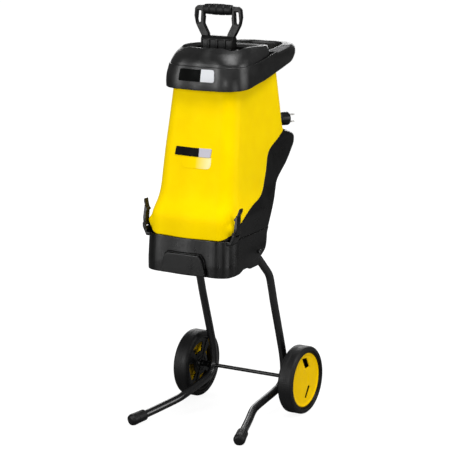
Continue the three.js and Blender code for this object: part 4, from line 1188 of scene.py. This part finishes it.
# dished rim inside the edge
dish_side = [(y, z - 1.6) for y, z in TIER_TOP] + [(0, 990), (-300, 990)]
cut(top, common(tier(7.5), prism("x", dish_side, -150, 150)))
cut(top, loft([(z, ring(half, half, y0, y1, r, r, 0)) for z, half, y0, y1, r in THROAT]))
for side in (1, -1):
    ledge = block(*span(side, 47.5, 92), -158.5, -132.5, 931, 936.5)
    join(top, common(ledge, tier(1), under_top(-0.6)))
soften(top, 0.9, 5, 0.6)
place(top, "hopper_upper", "upper_body", "hopper", "hopper_top")

# ------------------------------------------------------------- feed chute
# z, half width, front y, rear y, corner radius
CHUTE = [[490, 52, -251, -209, 10], [650, 56, -239, -206, 10], [800, 66, -224, -128, 14],
         [926, 76, -213, -80, 18]]


def chute_solid(inset, overrun):
    heights = spaced(CHUTE, 20)
    outlines = []
    for z in heights:
        half, y0, y1, r = table_at(CHUTE, z)
        outlines.append(ring(half - inset, half - inset, y0 + inset, y1 - inset, r - inset,
                             r - inset, 0, corner_steps=6, front_steps=8, side_steps=8,
                             rear_steps=8))
    heights[0] -= overrun
    heights[-1] += overrun
    return loft(list(zip(heights, outlines)))


chute = cut(chute_solid(0, 0), chute_solid(2.5, 2))
place(smooth_shade(chute, 35), "feed_chute", "upper_body", "black", "feed_funnel")


# ------------------------------------------------------------ front plates
def plate(outline, ys, body, inner, outer):
    """Thin plate that follows a body, between two distances off its surface."""
    return common(cut(prism("y", outline, *ys), body(-inner)), body(-outer))


def badge(points, radii):
    return soften(plate(fillet(points, radii, 5), (-290, -240), skirt_solid, 0.3, 2), 0.4, 2)


place(badge([(-51, 871), (13, 871), (13, 900), (-48, 900)], [3, 0.4, 0.4, 5]),
      "plate_dark", "upper_body", "black", "badge_dark", mat="dark_label")
place(badge([(13.6, 871), (50, 871), (47, 901), (13.6, 901)], [0.4, 6, 8, 0.4]),
      "plate_pale", "upper_body", "white", "badge_light")
outline = fillet([(-58, 690), (44, 690), (46, 711), (-55, 711)], 3, 4)
place(soften(plate(outline, (-266, -250), envelope, 0.3, 1.6), 0.4, 2),
      "plate_housing", "upper_body", "silver", "name_plate")
outline = fillet([(-36, 662), (46, 662), (46, 689.6), (-36, 689.6)], [12, 16, 0.4, 0.4], 8)
place(smooth_shade(plate(outline, (-275, -250), envelope, 0.1, 0.7), 30),
      "plate_housing_lower", "upper_body", "silver", mat="cream")

# ----------------------------------------------------------------- plunger
PLUNGER_Y = -145.5
BLOCK_HALF = 11.5               # half the depth of the block
HANDLE_HALF = 5.9               # half the depth of the handle
POCKET_HALF = 8.2
# handle: x, z, corner radius
HANDLE = [
    (-40.6, 956.4, 0), (-40.6, 964, 2), (-44.4, 968, 2), (-52, 981, 4), (-62, 999, 14),
    (-66.2, 1018, 14), (-64.2, 1038, 7), (-56, 1044, 8), (0, 1048, 0), (56, 1044, 8),
    (64.2, 1038, 7), (66.2, 1018, 14), (62, 999, 14), (52, 981, 4), (44.4, 968, 2),
    (40.6, 964, 2), (40.6, 956.4, 0), (27.4, 956.4, 0), (27.4, 976, 6), (40.5, 1000, 8),
    (38.5, 1021, 4), (-38.5, 1021, 4), (-40.5, 1000, 8), (-27.4, 976, 6), (-27.4, 956.4, 0),
]
HANDLE_SLOT = [(48, 1031), (57, 1031), (59.2, 1010), (57, 1001), (49.6, 1003.5)]
HANDLE_RECESS = [(46, 1033), (59.4, 1033), (61.6, 1010), (58.6, 997.5), (47.8, 1001.5)]

block_side = [(-BLOCK_HALF, 815), (BLOCK_HALF, 815), (BLOCK_HALF, 964), (7, 972), (-7, 972),
              (-BLOCK_HALF, 964)]
pusher = prism("x", fillet([(PLUNGER_Y + y, z) for y, z in block_side], 1.2, 3), -44.5, 44.5)
join(pusher, block(-51, 51, PLUNGER_Y - 9, PLUNGER_Y + 9, 936.8, 938.6))
for x in (-33, -11.5, 11.5, 33):
    x0, x1 = x - POCKET_HALF, x + POCKET_HALF
    pocket = fillet([(x0, 940), (x1, 940), (x1, 963), (x0, 963)], 1.5, 4)
    for side in (-1, 1):
        y = PLUNGER_Y + side * 12
        cut(pusher, prism("y", pocket, y - 3, y + 3))
for side in SIDES:
    cut(pusher, block(*span(side, 27, 41), PLUNGER_Y - 6.2, PLUNGER_Y + 6.2, 956, 980))
soften(pusher, 0.6, 3, 0.5)
place(pusher, "pusher_block", "plunger", "hopper", "plunger_block", mat="plunger")

outline = fillet([(x, z) for x, z, _ in HANDLE], [r for _, _, r in HANDLE], 5)
handle = prism("y", outline, PLUNGER_Y - HANDLE_HALF, PLUNGER_Y + HANDLE_HALF)
for side in SIDES:
    cut(handle, prism("y", fillet(flip(HANDLE_SLOT, side), 2.2, 4), -200, -100))
    recess = fillet(flip(HANDLE_RECESS, side), 2.6, 4)
    for y in (PLUNGER_Y - HANDLE_HALF, PLUNGER_Y + HANDLE_HALF):
        cut(handle, prism("y", recess, y - 2.4, y + 2.4))
cut(handle, block(-40, 40, -200, -100, 1018, 1060))
join(handle, block(-41.5, 41.5, PLUNGER_Y - 4, PLUNGER_Y + 4, 1030, 1041))
soften(handle, 0.55, 4, 0.6)
place(handle, "pusher_handle", "plunger", "hopper", "plunger_handle", mat="plunger")

# grip sleeve: four swellings with grooves between
SLEEVE_HALF = 39.6
SWELLINGS = 4


def swell(along):
    return 13.8 - 1.9 * (along / SLEEVE_HALF) ** 2


swelling = 2 * SLEEVE_HALF / SWELLINGS
sleeve = [(8.4, -SLEEVE_HALF), (10.6, -SLEEVE_HALF)]
for i in range(SWELLINGS):
    start, end = -SLEEVE_HALF + swelling * i, -SLEEVE_HALF + swelling * (i + 1)
    sleeve += [(swell(a), a) for a in (start + 2.6, (start + end) / 2, end - 2.6)]
    if i < SWELLINGS - 1:
        sleeve.append((swell(end) - 2.6, end))
sleeve += [(10.6, SLEEVE_HALF), (8.4, SLEEVE_HALF)]
sleeve_ob = lathe(sleeve, "x", 56, (0, PLUNGER_Y, 1035.5), edge=1.6, steps=4)
place(smooth_shade(sleeve_ob, 50), "pusher_grip", "plunger", "rubber", "plunger_grip")

# ------------------------------------------------------------ side latches
# x, z from the pivot, above the round lower end
LEVER = [
    (5.4, 6), (6.2, 16), (5.4, 32), (4.6, 42), (9.2, 53), (9.4, 59.6), (6.4, 60.4), (4.4, 52),
    (0.4, 40), (-3.2, 37), (-3.9, 33), (-0.9, 30.5), (-1.4, 14), (-2.4, 4.6),
]
outline = arc((0, 0), 5, np.linspace(2.05, 2 * math.pi + 0.3, 22)) + LEVER
lever = prism("y", [(LATCH_X + x, LATCH_Z + z) for x, z in outline], LATCH_Y - 8.9, LATCH_Y + 8.9)
cut(lever, block(LATCH_X - 2, LATCH_X + 20, LATCH_Y - 20, LATCH_Y - 6.5,
                 LATCH_Z + 44, LATCH_Z + 80))
cut(lever, cyl("y", LATCH_BORE_R, LATCH_Y - 20, LATCH_Y + 20, (LATCH_X, LATCH_Z), 24))
# grip grooves across the outside of the lever
for z in (18, 22, 26, 30):
    cut(lever, block(LATCH_X + 5.3, LATCH_X + 12, LATCH_Y - 6, LATCH_Y + 6,
                     LATCH_Z + z, LATCH_Z + z + 1.6))
soften(lever, 0.5, 4, 0.7)
# lean the lever towards the rear
for v in lever.data.vertices:
    rise = v.co.z / MM - LATCH_Z - 12
    if rise > 0:
        v.co.y += rise * 0.16 * MM
place_pair(lever, "latch_{}_lever", "latch_{}", "black", "latch_lever_{}")

# -------------------------------------------------------------- switch box
KEY_Z = 801
KEY_HALF = 16.5                 # half the height of a key
KEY_FACE = 64.9
KEY_GAP_X, KEY_GAP_Z = 1.2, 1.3
# x from, x to, name, body, slot, CAD node
KEYS = ((-45, -21, "key_on", "on_key", "green", "button_on"),
        (-11, 13, "key_off", "off_key", "red", "button_off"))

case = prism("z", fillet([(-62, 5), (44, 5), (44, 62), (-62, 62)], [0, 0, 5, 5], 5), 770, 832)
cut(case, envelope(-0.4))
for x0, x1, *_ in KEYS:
    cut(case, block(x0 - KEY_GAP_X, x1 + KEY_GAP_X, 50, 70,
                    KEY_Z - KEY_HALF - KEY_GAP_Z, KEY_Z + KEY_HALF + KEY_GAP_Z))
soften(case, 0.8, 4, 0.6)
place(case, "switch_case", "upper_body", "black", "switch_box")


def dish_face(key):
    """Hollow the rear face of a key."""
    bm = bmesh.new()
    bm.from_mesh(key.data)
    bmesh.ops.subdivide_edges(bm, edges=bm.edges, cuts=9, use_grid_fill=True)
    for v in bm.verts:
        if (v.co.y - SHIFT) / MM > 64.5:
            height = (v.co.z / MM - KEY_Z) / KEY_HALF
            v.co.y -= 1.1 * MM * (1 - height * height) - 0.1 * MM
    bm.to_mesh(key.data)
    bm.free()


for x0, x1, name, body, slot, cad in KEYS:
    key = block(x0, x1, 54.1, KEY_FACE, KEY_Z - KEY_HALF, KEY_Z + KEY_HALF)
    dish_face(key)
    bevel(key, 0.8, 3)
    place(key, name, body, slot, cad)

# ------------------------------------------------------------- mains inlet
INLET_AT = (72, 75, 745)
PIN_OFFSET = 9
# radius, position from the open end
SHROUD = [
    (0, -62), (17, -62), (17, -46), (20, -45), (20, -41), (17.4, -39), (16.8, -30), (16.2, -29),
    (16.2, -27), (16.7, -26), (17.3, -3), (16, 0), (13.6, 0), (13.4, -1.2), (0, -1.2),
]
PIN = [(0, -9.7), (2, -9.7), (2, 17.4), (1, 19.4), (0, 19.4)]
shroud = lathe(SHROUD, "y", 56, edge=0.8)
pins = []
for z in (PIN_OFFSET, -PIN_OFFSET):
    cut(shroud, cyl("y", 2.3, -10, 4, (0, z), 24))
    pins.append(lathe(PIN, "y", 24, (0, 0, z), edge=0.4))
for ob in (shroud, *pins):
    pose(ob, INLET_AT, Matrix.Rotation(-math.pi / 6, 4, "Z"))
cut(shroud, envelope(-0.4))
place(smooth_shade(shroud, 35), "mains_inlet", "upper_body", "black", "inlet_body")
for pin, letter in zip(pins, "ab"):
    place(smooth_shade(pin), "mains_pin_" + letter, "upper_body", "brass", "inlet_pin_" + letter)


# ------------------------------------------------------------------- stage
def floor_paper():
    """Grey paper that the camera sees as nearly white, brighter away from the middle."""
    material, tree, shader = shader_tree("floor_paper")
    node, link = tree.nodes.new, tree.links.new
    shader.inputs["Base Color"].default_value = (0.20, 0.20, 0.20, 1)
    shader.inputs["Roughness"].default_value = 0.9
    shader.inputs["Specular IOR Level"].default_value = 0.1
    glow = node("ShaderNodeEmission")
    glow.inputs["Color"].default_value = (1, 1, 1, 1)
    coords = node("ShaderNodeTexCoord")
    distance = node("ShaderNodeVectorMath")
    distance.operation = "LENGTH"
    link(coords.outputs["Object"], distance.inputs[0])
    falloff = node("ShaderNodeMapRange")
    falloff.inputs["From Min"].default_value = 0.8
    falloff.inputs["From Max"].default_value = 3.2
    falloff.inputs["To Min"].default_value = 0.90
    falloff.inputs["To Max"].default_value = 0.98
    link(distance.outputs["Value"], falloff.inputs["Value"])
    path = node("ShaderNodeLightPath")
    seen = node("ShaderNodeMath")
    seen.operation = "MULTIPLY"
    link(falloff.outputs["Result"], seen.inputs[1])
    link(path.outputs["Is Camera Ray"], seen.inputs[0])
    link(seen.outputs[0], glow.inputs["Strength"])
    both = node("ShaderNodeAddShader")
    link(shader.outputs[0], both.inputs[0])
    link(glow.outputs[0], both.inputs[1])
    link(both.outputs[0], tree.nodes["Material Output"].inputs[0])
    return material


bm = bmesh.new()
bmesh.ops.create_grid(bm, x_segments=2, y_segments=2, size=40)
floor_mesh = bpy.data.meshes.new("floor")
bm.to_mesh(floor_mesh)
bm.free()
floor = link_mesh(floor_mesh, "floor")
floor.location.z = -0.0005
floor_mesh.materials.append(floor_paper())

# white world: full strength to the camera, faint as light
world = bpy.data.worlds.new("studio")
scene.world = world
world.use_nodes = True
tree = world.node_tree
background = tree.nodes["Background"]
background.inputs["Color"].default_value = (1, 1, 1, 1)
path = tree.nodes.new("ShaderNodeLightPath")
strength = tree.nodes.new("ShaderNodeMapRange")
strength.inputs["To Min"].default_value = 0.16
strength.inputs["To Max"].default_value = 1.0
tree.links.new(path.outputs["Is Camera Ray"], strength.inputs["Value"])
tree.links.new(strength.outputs["Result"], background.inputs["Strength"])


# -------------------------------------------------------- lights and camera
def add_aimed(name, data, at, target):
    ob = bpy.data.objects.new(name, data)
    ob.location = at
    direction = Vector(target) - Vector(at)
    ob.rotation_euler = direction.to_track_quat("-Z", "Y").to_euler()
    scene.collection.objects.link(ob)
    return ob


def area(name, at, target, size, size_y, power):
    """Rectangular light; places and sizes in metres, power in watts."""
    light = bpy.data.lights.new(name, "AREA")
    light.energy = power
    light.shape = "RECTANGLE"
    light.size = size
    light.size_y = size_y
    add_aimed(name, light, at, target)


area("key", at=(-1.9, -3.6, 1.7), target=(0, 0, 0.6), size=1.5, size_y=2.4, power=73)
area("low_front", at=(-1.75, -2.95, 0.34), target=(0, -0.2, 0.45), size=0.7, size_y=0.6, power=9)
area("low_corner", at=(2.9, -1.7, 0.34), target=(0, -0.1, 0.5), size=0.5, size_y=0.6, power=12)
area("front", at=(1.3, -4.6, 0.9), target=(0, 0, 0.55), size=1.2, size_y=1.4, power=30)
area("side", at=(3.4, 0.9, 1.3), target=(0, 0, 0.6), size=1.4, size_y=2.2, power=49)
area("top", at=(0.9, -0.6, 3.2), target=(0, 0, 0.8), size=1.5, size_y=2.0, power=68)
area("back", at=(-1.6, 3.4, 1.5), target=(0, 0, 0.8), size=3.2, size_y=1.6, power=62)

camera = bpy.data.cameras.new("camera")
camera.lens = 153.0
camera.sensor_width = 36.0
camera.clip_end = 200
scene.camera = add_aimed("camera", camera, at=(2.3877, -4.1316 + SHIFT, 1.4811),
                         target=(0, -0.1181 + SHIFT, 0.4961))
scene.view_settings.view_transform = "Standard"
